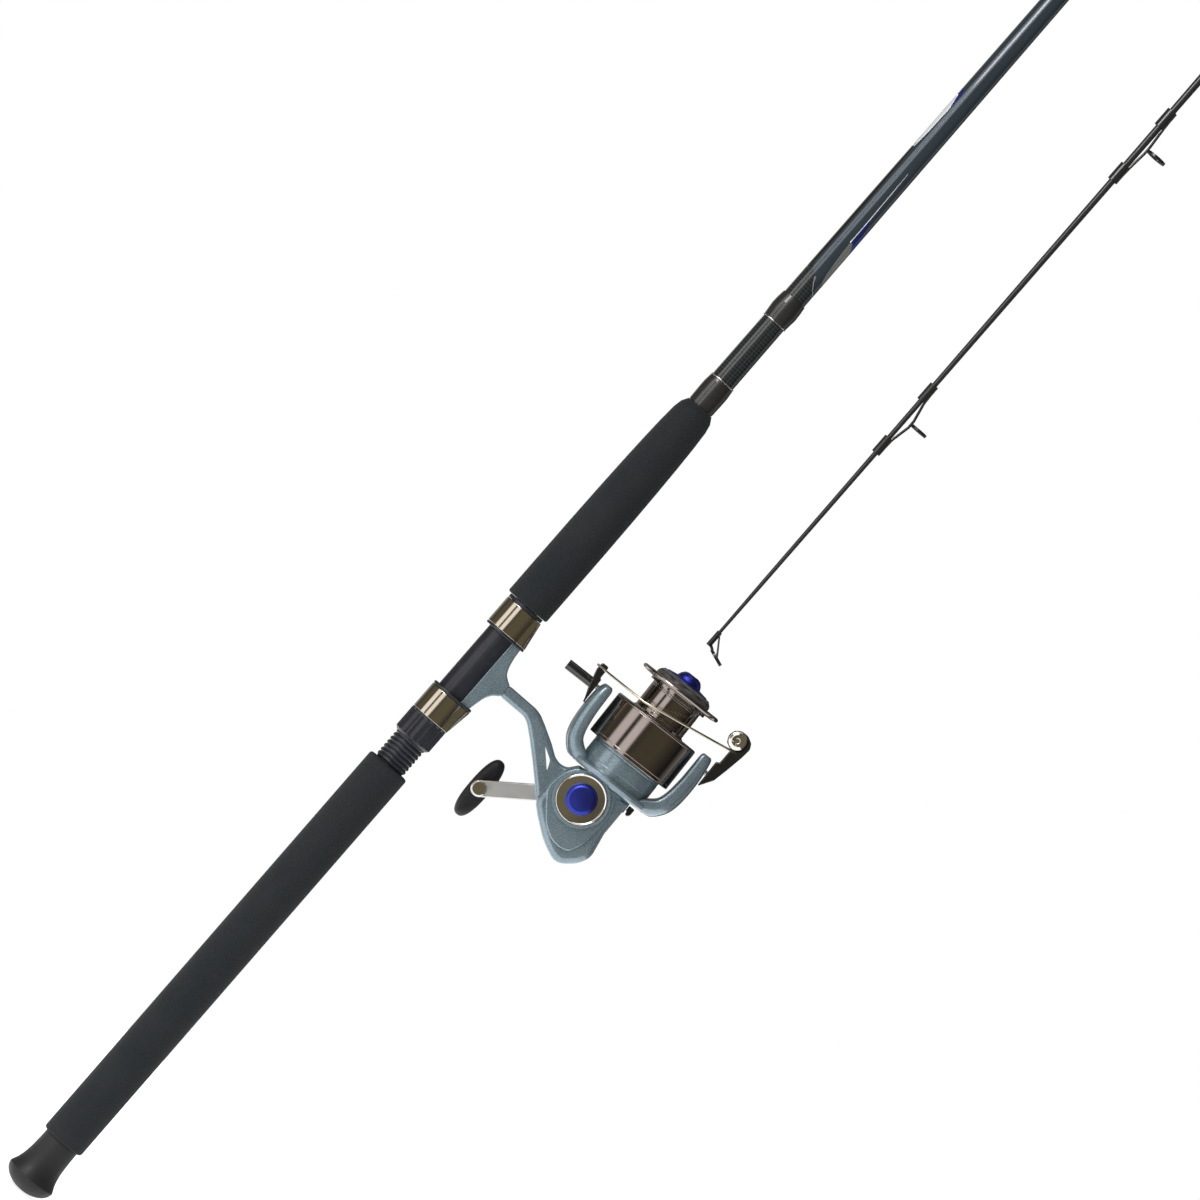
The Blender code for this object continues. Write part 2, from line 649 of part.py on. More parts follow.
def make_tip_top(tip):
    bore = tip_radius(TIP_TOP_LENGTH) + GAP
    profile = [(0, TIP_TOP_LENGTH), (TIP_TOP_RADIUS, TIP_TOP_LENGTH), (TIP_TOP_RADIUS, 0), (0, 0)]
    body = turned("tip_top_frame", "chrome", profile, tip, steps=SMALL_STEPS)
    centre = (TIP_RING_HEIGHT, 0, -TIP_RING_DROP)
    lean = (0, TIP_RING_LEAN, 0)
    ring_bore = TIP_RING_RADIUS - GUIDE_RING_WALL
    half = GUIDE_RING_WIDTH / 2
    profile = ring_profile(TIP_RING_RADIUS, ring_bore, -half, half)
    ring = turned("tip_top_loop", None, profile, tip, centre, lean, steps=18)
    foot = TIP_TOP_RADIUS * 0.6
    for side in (-1, 1):
        start = (foot, side * foot, TIP_TOP_LENGTH - 0.002)
        end = (TIP_RING_HEIGHT + 0.001, side * (TIP_RING_RADIUS - 0.0003), -TIP_RING_DROP - 0.0003)
        join(body, tube(f"tip_top_strut_{side + 1}", None, [start, end], 0.0007, tip))
    throat = [(foot, 0, 0.0015), (TIP_RING_HEIGHT - TIP_RING_RADIUS + 0.0012, 0, -0.0008)]
    join(body, tube("tip_top_neck", None, throat, 0.0012, tip), ring)
    cut(body, turned("tip_top_bore", None, rod_profile(bore, 0.0022, 0.02), tip, steps=SMALL_STEPS))
    insert = ring_bore - GAP
    profile = ring_profile(insert, insert - GUIDE_INSERT_WALL, -half * 0.8, half * 0.8)
    turned("tip_top_ring", "ceramic", profile, tip, centre, lean, steps=18)


# Reel body: outlines in the plane of the rod and the reel, as (X, Z)

HOUSING = [(0.1084, 0.5143), (0.1018, 0.5069), (0.0995, 0.4920), (0.0989, 0.4738), (0.1090, 0.4652)]
HOUSING += [(0.1249, 0.4536), (0.1421, 0.4471), (0.1544, 0.4579), (0.1592, 0.4677), (0.1551, 0.4882)]
HOUSING += [(0.1546, 0.5162)]
STEM_REAR = [(0.0268, 0.5144), (0.0520, 0.5147), (0.0570, 0.5126), (0.0657, 0.5055), (0.0787, 0.4940)]
STEM_REAR += [(0.0910, 0.4824), (0.1030, 0.4705)]
STEM_FRONT = [(0.1082, 0.5150), (0.1018, 0.5069), (0.0960, 0.5055), (0.0902, 0.5069), (0.0816, 0.5127)]
STEM_FRONT += [(0.0686, 0.5199), (0.0614, 0.5235), (0.0557, 0.5250), (0.0268, 0.5250)]
STEM_WINDOW = [(0.0785, 0.5086), (0.0885, 0.5030), (0.0922, 0.4948)]
PANEL = [(0.1000, 0.4860), (0.1080, 0.4755), (0.1170, 0.4650), (0.1275, 0.4590), (0.1361, 0.4583)]
PANEL += [(0.1436, 0.4605), (0.1493, 0.4740), (0.1504, 0.4995), (0.1451, 0.5150), (0.1091, 0.5142)]
PANEL += [(0.1032, 0.5060), (0.1004, 0.4960)]


def foot_outline():
    """The foot with its flared root: flat under the hoods and swelling into the stem."""
    rear = [(0.0093, FOOT_BOTTOM), (FOOT_END_REACH, FOOT_BOTTOM), (FOOT_MID_REACH, FOOT_WINDOW_LOW)]
    rear += [(0.0188, 0.498), (0.0206, 0.5055), (0.0244, 0.5115), (0.0293, 0.5144)]
    front = [(0.0293, 0.5250), (0.0263, 0.5265), (0.0221, 0.5295), (0.0195, 0.5355), (0.0182, 0.5430)]
    front += [(FOOT_MID_REACH, FOOT_WINDOW_HIGH), (FOOT_END_REACH, FOOT_TOP), (0.0093, FOOT_TOP)]
    return rear + front


def housing(name, look, near, far, rounding, reel):
    """The gear housing's outer form between two planes across Y, with the round collar at its front."""
    form = flat(name, look, HOUSING, far - near, at=(0, (near + far) / 2, 0), rounding=rounding)
    join(form, turned(name + "_collar", None, rod_profile(COLLAR_RADIUS, -0.009, -ROTOR_GAP), reel))
    return form


def make_body(reel, gears):
    body = housing("reel_body", "slate_paint", -BODY_RIGHT - 0.02, BODY_RIGHT, BODY_ROUNDING, reel)
    left_half = block("body_parting", None, (0.2, 0.1, 0.2), at=(0.14, PARTING - 0.05, 0.49))
    joint = [(0.1120, 0.4750), (0.1120, 0.5120)]
    stem = flat("body_stem", None, STEM_REAR + joint + STEM_FRONT, STEM_WIDTH, rounding=0.0035)
    foot = flat("body_foot", None, foot_outline(), FOOT_WIDTH, rounding=0.0012)
    boss = turned("body_boss", None, rod_profile(BOSS_RADIUS, BODY_RIGHT - 0.004, BOSS_END), gears)
    depth = 0.08
    inside = BODY_RIGHT - BODY_WALL
    cavity = flat("body_cavity", None, inset(HOUSING, BODY_WALL), depth, at=(0, inside - depth / 2, 0))
    seat_low = inside - BEARING_WIDTH + 0.0008
    seat_profile = rod_profile(BEARING_RADIUS + 0.0025, seat_low, BODY_RIGHT - 0.001)
    cut(body, left_half)
    join(body, stem, foot, boss)
    cut(body, cavity)
    join(body, turned("body_bearing_seat", None, seat_profile, gears))
    bearing_hole = rod_profile(BEARING_RADIUS + GAP, seat_low - 0.01, seat_low + BEARING_WIDTH + 2 * GAP)
    shaft_hole = rod_profile(GEAR_SHAFT_RADIUS + 0.0005, seat_low, BOSS_END + 0.01)
    pinion_hole = rod_profile(PINION_BEARING_RADIUS + GAP, -0.02, 0.01)
    cut(body, turned("body_bearing_bore", None, bearing_hole, gears))
    cut(body, turned("body_shaft_bore", None, shaft_hole, gears))
    cut(body, turned("body_pinion_bore", None, pinion_hole, reel))
    cut(body, turned("body_seat_clearance", None, rod_profile(SEAT_RADIUS + GAP, 0.4, 0.6)))
    cut(body, flat("body_window", None, STEM_WINDOW, 0.04))
    return seat_low


def make_side_cover(reel, gears):
    """The cover on the side away from the handle, with its raised panel and the bright dish's ring."""
    cover = housing("side_cover", "slate_paint", COVER_LEFT, -COVER_LEFT + 0.02, COVER_ROUNDING, reel)
    cut(cover, block("cover_parting", None, (0.2, 0.1, 0.2), at=(0.14, PARTING - GAP + 0.05, 0.49)))
    inner, outer = COVER_LEFT + BODY_WALL, COVER_LEFT - PANEL_RAISE
    depth = 0.08
    cut(cover, flat("cover_cavity", None, inset(HOUSING, BODY_WALL), depth, at=(0, inner + depth / 2, 0)))
    pinion_hole = rod_profile(PINION_BEARING_RADIUS + GAP, -0.02, 0.01)
    cut(cover, turned("cover_pinion_bore", None, pinion_hole, reel))
    panel_depth = PANEL_RAISE + BODY_WALL / 2
    at = (0, outer + panel_depth / 2, 0)
    panel = flat("cover_panel", None, PANEL, panel_depth, at=at, rounding=0.0012)
    ring = [(0, outer + 0.001), (DISH_RING_RADIUS, outer + 0.001)]
    ring += [(DISH_RING_RADIUS - 0.0006, outer - 0.0022), (0, outer - 0.0022)]
    seat = rod_profile(BEARING_RADIUS + 0.0025, inner - 0.001, inner + BEARING_WIDTH)
    join(cover, panel, turned("cover_ring", None, ring, gears))
    join(cover, turned("cover_bearing_seat", None, seat, gears))
    socket = rod_profile(BEARING_RADIUS + GAP, inner + 0.0001, inner + 0.01)
    cut(cover, turned("cover_bearing_socket", None, socket, gears))
    recess = rod_profile(DISH_RADIUS + GAP, outer - 0.01, outer + 0.0001)
    cut(cover, turned("cover_dish_seat", None, recess, gears))
    hole = rod_profile(GEAR_SHAFT_RADIUS + 0.0007, outer - 0.01, inner + 0.01)
    cut(cover, turned("cover_shaft_bore", None, hole, gears))
    cut(cover, block("cover_rotor_side", None, (0.08, 0.04, 0.02), reel, (0, outer, 0.01 - ROTOR_GAP / 2)))
    face = outer - GAP
    rim = face - 0.0030
    bore = GEAR_SHAFT_RADIUS + 0.0007
    dish = [(DISH_RADIUS, face), (DISH_RADIUS, rim + 0.0004), (DISH_RADIUS - 0.0006, rim)]
    dish += [(DISH_RADIUS - 0.0014, rim + 0.0004), (DISH_HOLLOW_RADIUS, face - 0.0014)]
    dish += [(bore, face - 0.0008), (bore, face)]
    turned("side_dish", "chrome", dish, gears)
    return face


# Gear train, with the gears' frame on the handle axis (its local Z is +Y)


def make_gears(reel, gears, right_seat, left_face):
    gear_low = PINION_RADIUS + 0.0004
    left_seat = COVER_LEFT + BODY_WALL + GAP
    left_end = left_seat + BEARING_WIDTH
    teeth = [(GEAR_RADIUS, gear_low + GEAR_THICKNESS), (GEAR_RADIUS, gear_low), (0.0095, gear_low)]
    teeth += [(0.0095, gear_low + 0.001), (GEAR_SHAFT_RADIUS, gear_low + 0.001)]
    small = [(GEAR_SHAFT_RADIUS, -0.0070), (OSCILLATION_PINION_RADIUS, -0.0070)]
    small += [(OSCILLATION_PINION_RADIUS, -0.0110), (GEAR_SHAFT_RADIUS, -0.0110)]
    shaft_low, shaft_high = COVER_LEFT + BODY_WALL + GAP, BOSS_END + 0.0002
    bore = SHANK_RADIUS + GAP
    profile = [(GEAR_SHAFT_RADIUS, shaft_high), (GEAR_SHAFT_RADIUS, gear_low + GEAR_THICKNESS + 0.001)]
    profile += [(0.0075, gear_low + GEAR_THICKNESS + 0.001), (0.0075, gear_low + GEAR_THICKNESS)]
    profile += teeth + small + [(GEAR_SHAFT_RADIUS, shaft_low), (bore, shaft_low), (bore, shaft_high)]
    turned("drive_gear", "brass", profile, gears, steps=20)
    bearing = (BEARING_RADIUS, GEAR_SHAFT_RADIUS + GAP)
    turned("drive_bearing_left", "steel", ring_profile(*bearing, left_seat, left_end), gears, steps=18)
    right = (right_seat + GAP, right_seat + BEARING_WIDTH)
    turned("drive_bearing_right", "steel", ring_profile(*bearing, *right), gears, steps=18)

    cap_low, cap_high = left_face - 0.0092, left_face - 0.0036
    shank_low = left_face - 0.0060
    collar_low, collar_high = BOSS_END + 0.0006, HANDLE_ARM_START - GAP
    arm_end = HANDLE_ARM_START + HANDLE_ARM_THICKNESS
    profile = [(0, arm_end + 0.0025), (0.0042, arm_end + 0.0025), (0.0050, arm_end + 0.0018)]
    profile += [(0.0050, arm_end + GAP), (SHANK_RADIUS, arm_end + GAP), (SHANK_RADIUS, collar_high)]
    profile += [(SHANK_COLLAR_RADIUS, collar_high), (SHANK_COLLAR_RADIUS, collar_low)]
    profile += [(SHANK_RADIUS, collar_low), (SHANK_RADIUS, shank_low), (0, shank_low)]
    turned("handle_shank", "satin_silver", profile, gears, steps=18)
    inner = SHANK_RADIUS + GAP
    profile = [(0, shank_low - GAP), (inner, shank_low - GAP), (inner, cap_high)]
    profile += [(CAP_RADIUS - 0.0008, cap_high), (CAP_RADIUS, cap_high - 0.001)]
    profile += [(CAP_RADIUS, cap_low + 0.0026), (CAP_RADIUS - 0.0012, cap_low + 0.001)]
    profile += [(CAP_RADIUS - 0.004, cap_low), (0, cap_low)]
    turned("handle_cap", "blue_anodised", profile, gears)

    pinion = ring_profile(PINION_RADIUS, SHAFT_RADIUS + GAP, PINION_BACK, ROTOR_FLOOR_HIGH + 0.0045)
    turned("pinion_gear", "brass", pinion, reel)
    bearing = ring_profile(PINION_BEARING_RADIUS, PINION_RADIUS + GAP, -0.0047, -0.0011)
    turned("pinion_bearing", "steel", bearing, reel, steps=18)
    clutch = ring_profile(CLUTCH_RADIUS, PINION_RADIUS + GAP, -0.0005, ROTOR_FLOOR_LOW - 0.0006)
    turned("clutch_bearing", "steel", clutch, reel, steps=18)
    nut_at = (0, 0, ROTOR_FLOOR_HIGH + GAP + 0.002)
    nut = flat("rotor_nut", "steel", arc((0, 0), 0.0082, 0, 300, 5), 0.004, reel, nut_at, (0, 0, 0))
    cut(nut, turned("nut_bore", None, rod_profile(PINION_RADIUS + GAP, 0, 0.03), reel))


def make_oscillation(reel, gears):
    spacing = OSCILLATION_PINION_RADIUS + OSCILLATION_GEAR_RADIUS + 2 * GAP
    away = (spacing * math.cos(OSCILLATION_DIRECTION), -spacing * math.sin(OSCILLATION_DIRECTION), 0)
    wheel = frame("oscillation_axis", gears, away)
    profile = [(0, -0.0074), (OSCILLATION_GEAR_RADIUS, -0.0074), (OSCILLATION_GEAR_RADIUS, -0.0106)]
    gear = turned("oscillation_gear", "brass", profile + [(0, -0.0106)], wheel, steps=18)
    pin = rod_profile(0.0014, -0.0090, -0.0050)
    join(gear, turned("oscillation_pin", None, pin, wheel, (0, OSCILLATION_THROW, 0), steps=12))
    size = (0.0094, 0.009, 0.009)
    at = (0.0026, 0, SHAFT_BACK + 0.001 + size[2] / 2)
    slider = block("oscillation_slider", "brass", size, reel, at)
    hole = rod_profile(SHAFT_RADIUS + GAP, SHAFT_BACK - 0.01, SHAFT_BACK + 0.02)
    cut(slider, turned("slider_bore", None, hole, reel, steps=24))


# Rotor and bail, in the reel's frame


def make_rotor(reel):
    cup_inner = ROTOR_CUP_RADIUS - ROTOR_CUP_WALL
    rim, rim_top = ROTOR_RIM_RADIUS, ROTOR_RIM_LENGTH
    clutch_room = CLUTCH_RADIUS + 0.001
    core = [(ROTOR_CUP_RADIUS, ROTOR_CUP_FRONT), (ROTOR_CUP_RADIUS, rim_top + 0.001)]
    core += [(rim - 0.001, rim_top), (rim, rim_top - 0.0015), (rim - 0.0006, 0.0014), (rim - 0.003, 0)]
    core += [(clutch_room, 0), (clutch_room, ROTOR_FLOOR_LOW), (PINION_RADIUS + GAP, ROTOR_FLOOR_LOW)]
    core += [(PINION_RADIUS + GAP, ROTOR_FLOOR_HIGH), (cup_inner, ROTOR_FLOOR_HIGH)]
    core.append((cup_inner, ROTOR_CUP_FRONT))
    outside = ROTOR_ARM_RADIUS
    front = max(ROTOR_ARM_FRONTS)
    bell = [(outside - 0.0022, front), (outside - 0.0006, 0.050), (outside, 0.037)]
    bell += [(outside - 0.0008, 0.023), (outside - 0.0032, 0.0130)]
    bell += [(outside - 0.0078, 0.0058), (outside - 0.0130, 0.0012)]
    bell += [(outside - 0.0165, 0.0003), (0.0300, 0.0003), (0.0300, 0.0100), (0.0345, 0.0134)]
    bell += [(0.0388, 0.0200), (0.0404, 0.0290), (0.0410, 0.040), (0.0410, front)]
    arms = turned("rotor", "slate_paint", bell, reel, steps=36)
    half = ROTOR_ARM_WIDTH / 2
    root, nose = half + 0.003, half - 0.004
    for side, length, label in ((-1, ROTOR_ARM_FRONTS[0], "rod"), (1, ROTOR_ARM_FRONTS[1], "far")):
        outline = [(-root, -0.002), (root, -0.002), (half, 0.030), (nose + 0.002, length - 0.005)]
        outline += [(nose, length), (-nose, length), (-nose - 0.002, length - 0.005), (-half, 0.030)]
        at, turn = (side * 0.04, 0, 0), (math.pi / 2, 0, math.pi / 2)
        keep = flat(f"rotor_{label}_slab", None, outline, 0.05, reel, at, turn)
        if side < 0:
            first = keep
        else:
            join(first, keep)
    shape(arms, "INTERSECT", first)
    join(arms, turned("rotor_core", None, core, reel))
    hole = rod_profile(BAIL_SCREW_RADIUS + GAP, -0.07, 0.07)
    cut(arms, turned("rotor_pivot_bore", None, hole, reel, (0, 0, BAIL_PIVOT), ALONG_X, steps=16))


def bail_path():
    """The wire from the small arm's ball, round in front of the spool, to the roller's cover."""
    points = []
    for i in range(33):
        angle = math.radians(4 + 166 * i / 32)
        x = -BAIL_HALF_SPAN * math.cos(angle)
        y = -BAIL_DEPTH * math.sin(angle) ** 0.85
        rise = WIRE_RISE * max(0, x - WIRE_RISE_START)
        points.append((x, y, WIRE_HEIGHT + rise - BAIL_PIVOT))
    return points


def make_bail(reel, bail):
    inner = ROTOR_ARM_RADIUS + 0.0004
    small = [(-inner, 0.0370), (-0.0568, 0.0479), (-0.0607, 0.0638), (-0.0600, 0.0700)]
    small += [(-0.0540, 0.0700), (-0.0540, 0.0597), (-inner, 0.0590)]
    large = [(inner + 0.0002, 0.0414), (0.0602, 0.0522), (0.0630, 0.0638), (0.0661, 0.0788)]
    large += [(0.0672, 0.0870), (0.0652, 0.0915), (0.0600, 0.0945), (0.0540, 0.0945)]
    large += [(0.0495, 0.0915), (0.0480, 0.0866)]
    large += [(0.0500, 0.0810), (0.0560, 0.0780), (0.0555, 0.0655), (inner + 0.0002, 0.0645)]
    for name, outline, side in (("bail_arm_small", small, -1), ("bail_arm_roller", large, 1)):
        low = [(x, z - BAIL_PIVOT) for x, z in outline]
        arm = flat(name, "black_gloss", low, BAIL_ARM_WIDTH, bail, rounding=0.0010)
        hole = rod_profile(BAIL_SCREW_RADIUS + GAP, 0.04, 0.08)
        turn = (0, side * math.pi / 2, 0)
        cut(arm, turned(name + "_bore", None, hole, bail, (0, 0, 0), turn, steps=16))
        sink = rod_profile(BAIL_HEAD_RADIUS + GAP, inner + 0.003, 0.08)
        cut(arm, turned(name + "_sink", None, sink, bail, (0, 0, 0), turn, steps=16))
        if side < 0:
            knob = ball("bail_ball", None, 0.0041, bail, (-0.0569, 0, 0.0688 - BAIL_PIVOT))
            join(arm, knob)
        else:
            notch = rod_profile(ROLLER_COVER_RADIUS + 0.0012, -0.03, ROLLER_WIDTH / 2 + GAP)
            at = (ROLLER_REACH, 0, ROLLER_HEIGHT - BAIL_PIVOT)
            cut(arm, turned("roller_pocket", None, notch, bail, at, ACROSS, steps=32))
            eye = rod_profile(ROLLER_PIN_RADIUS + GAP, -0.03, 0.03)
            cut(arm, turned("roller_eye", None, eye, bail, at, ACROSS, steps=16))
        screw = [(0, 0.0578), (BAIL_HEAD_RADIUS, 0.0578), (BAIL_HEAD_RADIUS, inner + 0.003 + GAP)]
        screw += [(BAIL_SCREW_RADIUS, inner + 0.003 + GAP), (BAIL_SCREW_RADIUS, 0.0430), (0, 0.0430)]
        turned(name.replace("arm", "screw"), "steel", screw, bail, (0, 0, 0), turn, steps=16)
    tube("bail_wire", "bail_wire", bail_path(), BAIL_WIRE_RADIUS, bail)

    roller = frame("roller_axis", bail, (ROLLER_REACH, 0, ROLLER_HEIGHT - BAIL_PIVOT), ACROSS)
    half = ROLLER_WIDTH / 2 - GAP
    bore = ROLLER_PIN_RADIUS + 0.0002
    profile = [(ROLLER_RADIUS, half), (ROLLER_RADIUS - 0.001, 0.001), (ROLLER_RADIUS - 0.001, -0.001)]
    profile += [(ROLLER_RADIUS, -half), (bore, -half), (bore, half)]
    turned("line_roller", "chrome", profile, roller, steps=18)
    face = -ROLLER_WIDTH / 2
    edge = face - ROLLER_COVER_THICKNESS
    pin_end = BAIL_ARM_WIDTH / 2 - 0.0006
    profile = [(0, pin_end), (ROLLER_PIN_RADIUS, pin_end), (ROLLER_PIN_RADIUS, face)]
    profile += [(ROLLER_COVER_RADIUS, face), (ROLLER_COVER_RADIUS, edge + 0.0012)]
    profile += [(ROLLER_COVER_RADIUS - 0.0012, edge), (0, edge)]
    turned("roller_cover", "chrome", profile, roller, steps=18)


# Spool and drag, in the reel's frame


def make_spool(reel):
    skirt, lip, arbor = SPOOL_SKIRT_RADIUS, SPOOL_LIP_RADIUS, SPOOL_ARBOR_RADIUS
    shoulder, front = SPOOL_SHOULDER, SPOOL_FRONT
    recess = DRAG_KNOB_RADIUS + 0.0006
    web = shoulder - 0.003
    bore = SHAFT_RADIUS + GAP
    floor = DRAG_KNOB_START - GAP
    profile = [(recess, front - 0.0002), (lip - 0.0016, front), (lip - 0.0004, front - 0.0007)]
    profile += [(lip, front - 0.0017), (lip - 0.0007, front - 0.0030)]
    profile += [(lip - 0.005, front - 0.0038), (arbor, front - 0.0044)]
    profile += [(arbor, shoulder + 0.0016), (arbor + 0.0016, shoulder + 0.0002), (skirt - 0.001, shoulder)]
    profile += [(skirt, shoulder - 0.001), (skirt, SPOOL_BACK + 0.0006), (skirt - 0.0006, SPOOL_BACK)]
    profile += [(skirt - SPOOL_SKIRT_WALL, SPOOL_BACK), (skirt - SPOOL_SKIRT_WALL, web), (bore, web)]
    profile += [(bore, DRAG_POCKET_FLOOR), (DRAG_POCKET_RADIUS, DRAG_POCKET_FLOOR)]
    profile += [(DRAG_POCKET_RADIUS, floor), (recess, floor)]
    turned("spool", "spool_metal", profile, reel, steps=32)
    top, washers = floor - GAP, 4
    thickness = (top - DRAG_POCKET_FLOOR - GAP) / washers
    radius = DRAG_POCKET_RADIUS - 0.0006
    stack = []
    for i in range(washers):
        height = top - i * thickness
        stack += [(radius, height), (radius, height - 0.7 * thickness)]
        stack += [(radius - 0.0012, height - 0.7 * thickness), (radius - 0.0012, height - thickness)]
    stack += [(bore, top - washers * thickness), (bore, top)]
    turned("drag_washer_stack", "felt", stack, reel, steps=SMALL_STEPS)


def make_drag_knob(reel):
    start, front = DRAG_KNOB_START, DRAG_KNOB_FRONT
    pocket = DRAG_INSERT_RADIUS + GAP
    seat = front - 0.0016
    bore = SHAFT_RADIUS + GAP
    radius = DRAG_KNOB_RADIUS
    profile = [(pocket, front), (pocket + 0.0015, front), (radius - 0.0012, front - 0.0022)]
    profile += [(radius, front - 0.0042), (radius, start + 0.001), (radius - 0.001, start)]
    profile += [(bore, start), (bore, seat), (pocket, seat)]
    knob = turned("drag_knob", "drag_grey", profile, reel, steps=40)
    flute(knob, DRAG_KNOB_NOTCHES, 0.0016, DRAG_KNOB_RADIUS - 0.0014, front - 0.0045, front - 0.002)
    tip = DRAG_INSERT_FRONT
    profile = [(0, tip), (0.0045, tip), (0.0072, tip - 0.001), (0.0093, tip - 0.0034)]
    profile += [(0.0106, tip - 0.0062), (DRAG_INSERT_RADIUS - 0.0006, tip - 0.0074)]
    profile.append((DRAG_INSERT_RADIUS, tip - 0.0084))
    profile += [(DRAG_INSERT_RADIUS, seat + GAP), (0, seat + GAP)]
    turned("drag_knob_insert", "blue_anodised", profile, reel)
    shaft_top = seat - GAP
    turned("main_shaft", "steel", rod_profile(SHAFT_RADIUS, SHAFT_BACK, shaft_top), reel, steps=24)


# Handle and lever


def make_handle(gears):
    hub = Vector((GEAR_AXIS_REACH, GEAR_AXIS_HEIGHT))
    knob = Vector(HANDLE_KNOB_AXIS)
    along = knob - hub
    angle = math.degrees(math.atan2(along.y, along.x))
    radius = HANDLE_ARM_WIDTH / 2
    outline = arc(hub, radius, angle + 90, angle + 270, 8)
    outline += arc(knob, radius, angle - 90, angle + 90, 8)
    thickness = HANDLE_ARM_THICKNESS
    at = (0, HANDLE_ARM_START + thickness / 2, 0)
    arm = flat("handle_arm", "satin_silver", outline, thickness, at=at, rounding=0.0012)
    pivot = frame("knob_axis", None, (knob.x, 0, knob.y), ACROSS)
    low, high = HANDLE_ARM_START - 0.01, HANDLE_ARM_START + thickness + 0.01
    hub_hole = rod_profile(SHANK_RADIUS + GAP, low, high)
    knob_hole = rod_profile(SPINDLE_RADIUS + GAP, low, high)
    cut(arm, turned("handle_hub_bore", None, hub_hole, gears, steps=20))
    cut(arm, turned("handle_knob_bore", None, knob_hole, pivot, steps=20))
    head = HANDLE_ARM_START - GAP
    end = KNOB_START + KNOB_DEPTH - 0.004
    radius = SPINDLE_HEAD_RADIUS
    profile = [(0, end), (SPINDLE_RADIUS, end), (SPINDLE_RADIUS, head), (radius, head)]
    profile += [(radius, head - 0.0012), (radius - 0.0006, head - 0.0016), (0, head - 0.0016)]
    turned("knob_spindle", "chrome", profile, pivot, steps=SMALL_STEPS)

    half_length, half_width = KNOB_LENGTH / 2, KNOB_THICKNESS / 2
    paddle = []
    for i in range(KNOB_STEPS):
        turn = 2 * math.pi * i / KNOB_STEPS
        x, y = math.cos(turn), math.sin(turn)
        across, along = math.copysign(abs(x) ** 0.8, x), math.copysign(abs(y) ** 0.8, y)
        paddle.append((across * half_width, along * half_length))
    grip_start = KNOB_START + 0.003
    grip_depth = KNOB_DEPTH - 0.003
    at = (0, 0, grip_start + grip_depth / 2)
    grip = flat("handle_knob", "rubber", paddle, grip_depth, pivot, at, (0, 0, 0), rounding=0.005)
    neck = rod_profile(0.0062, KNOB_START, grip_start + 0.002)
    join(grip, turned("knob_neck", None, neck, pivot, steps=24))
    bore = rod_profile(SPINDLE_RADIUS + GAP, KNOB_START - 0.01, end + GAP)
    cut(grip, turned("knob_bore", None, bore, pivot, steps=20))


def make_lever():
    """The anti-reverse lever under the body: it turns on a post square to the body's underside."""
    base = 0.1560
    post_height = 0.5137
    pivot = frame("lever_axis", None, (0, 0, post_height))
    outline = [(base, -0.0022), (base, 0.0024), (0.1610, 0.0024), (0.1610, -0.0030), (0.1596, -0.0050)]
    outline += [(0.1576, -0.0050), (0.1570, -0.0022)]
    flat("anti_reverse_lever", "black_gloss", outline, 0.006, pivot, rounding=0.0006)


clear_scene()
PARTS = collection("spinning_rod_and_reel")
CUTTERS = collection("cutters")

REEL = frame("reel_axis", None, (REEL_REACH, 0, REEL_HEIGHT), (0, -REEL_TILT, 0))
GEARS = frame("handle_axis", None, (GEAR_AXIS_REACH, 0, GEAR_AXIS_HEIGHT), ACROSS)
BAIL = frame("bail_axis", REEL, (0, 0, BAIL_PIVOT))
TIP = frame("tip_section_origin", None, TIP_OFFSET)
NUT = frame("seat_nut_axis", None, (0, 0, NUT_BOTTOM))
bpy.context.view_layer.update()

make_butt_cap()
make_blank()
make_grips()
make_seat()
make_nut(NUT)
slide_reaches = (HOOD_NARROW_REACH, HOOD_WIDE_REACH)
make_hood("sliding_hood", "nickel", SLIDING_HOOD_BOTTOM, SLIDING_RIM_BOTTOM - GAP, *slide_reaches)
rim_reaches = (HOOD_WIDE_REACH, HOOD_WIDE_REACH)
make_hood("sliding_hood_rim", "seat_black", SLIDING_RIM_BOTTOM, SLIDING_RIM_BOTTOM + HOOD_RIM, *rim_reaches)
make_hood("fixed_hood_rim", "seat_black", FOOT_WINDOW_HIGH, FIXED_RIM_TOP - GAP, *rim_reaches)
make_hood("fixed_hood", "nickel", FIXED_RIM_TOP, FIXED_HOOD_TOP, HOOD_WIDE_REACH, HOOD_NARROW_REACH)
make_trim()

make_tip_blank(TIP)
make_tip_top(TIP)
for guide_index in range(len(GUIDE_PLACES)):
    make_guide(guide_index, TIP)

RIGHT_SEAT = make_body(REEL, GEARS)
LEFT_FACE = make_side_cover(REEL, GEARS)
make_gears(REEL, GEARS, RIGHT_SEAT, LEFT_FACE)
make_oscillation(REEL, GEARS)
make_rotor(REEL)
make_bail(REEL, BAIL)
make_spool(REEL)
make_drag_knob(REEL)
make_handle(GEARS)
make_lever()
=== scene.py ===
"""Looks of a two-piece spinning rod with its reel, broken down for carrying.

Every visible CAD node is remade here at a finer finish, in the same frame and at the same sizes, and
gets a procedural material. Lengths are in metres.
"""

import json
import math

import bmesh
import bpy
from mathutils import Euler, Matrix, Vector


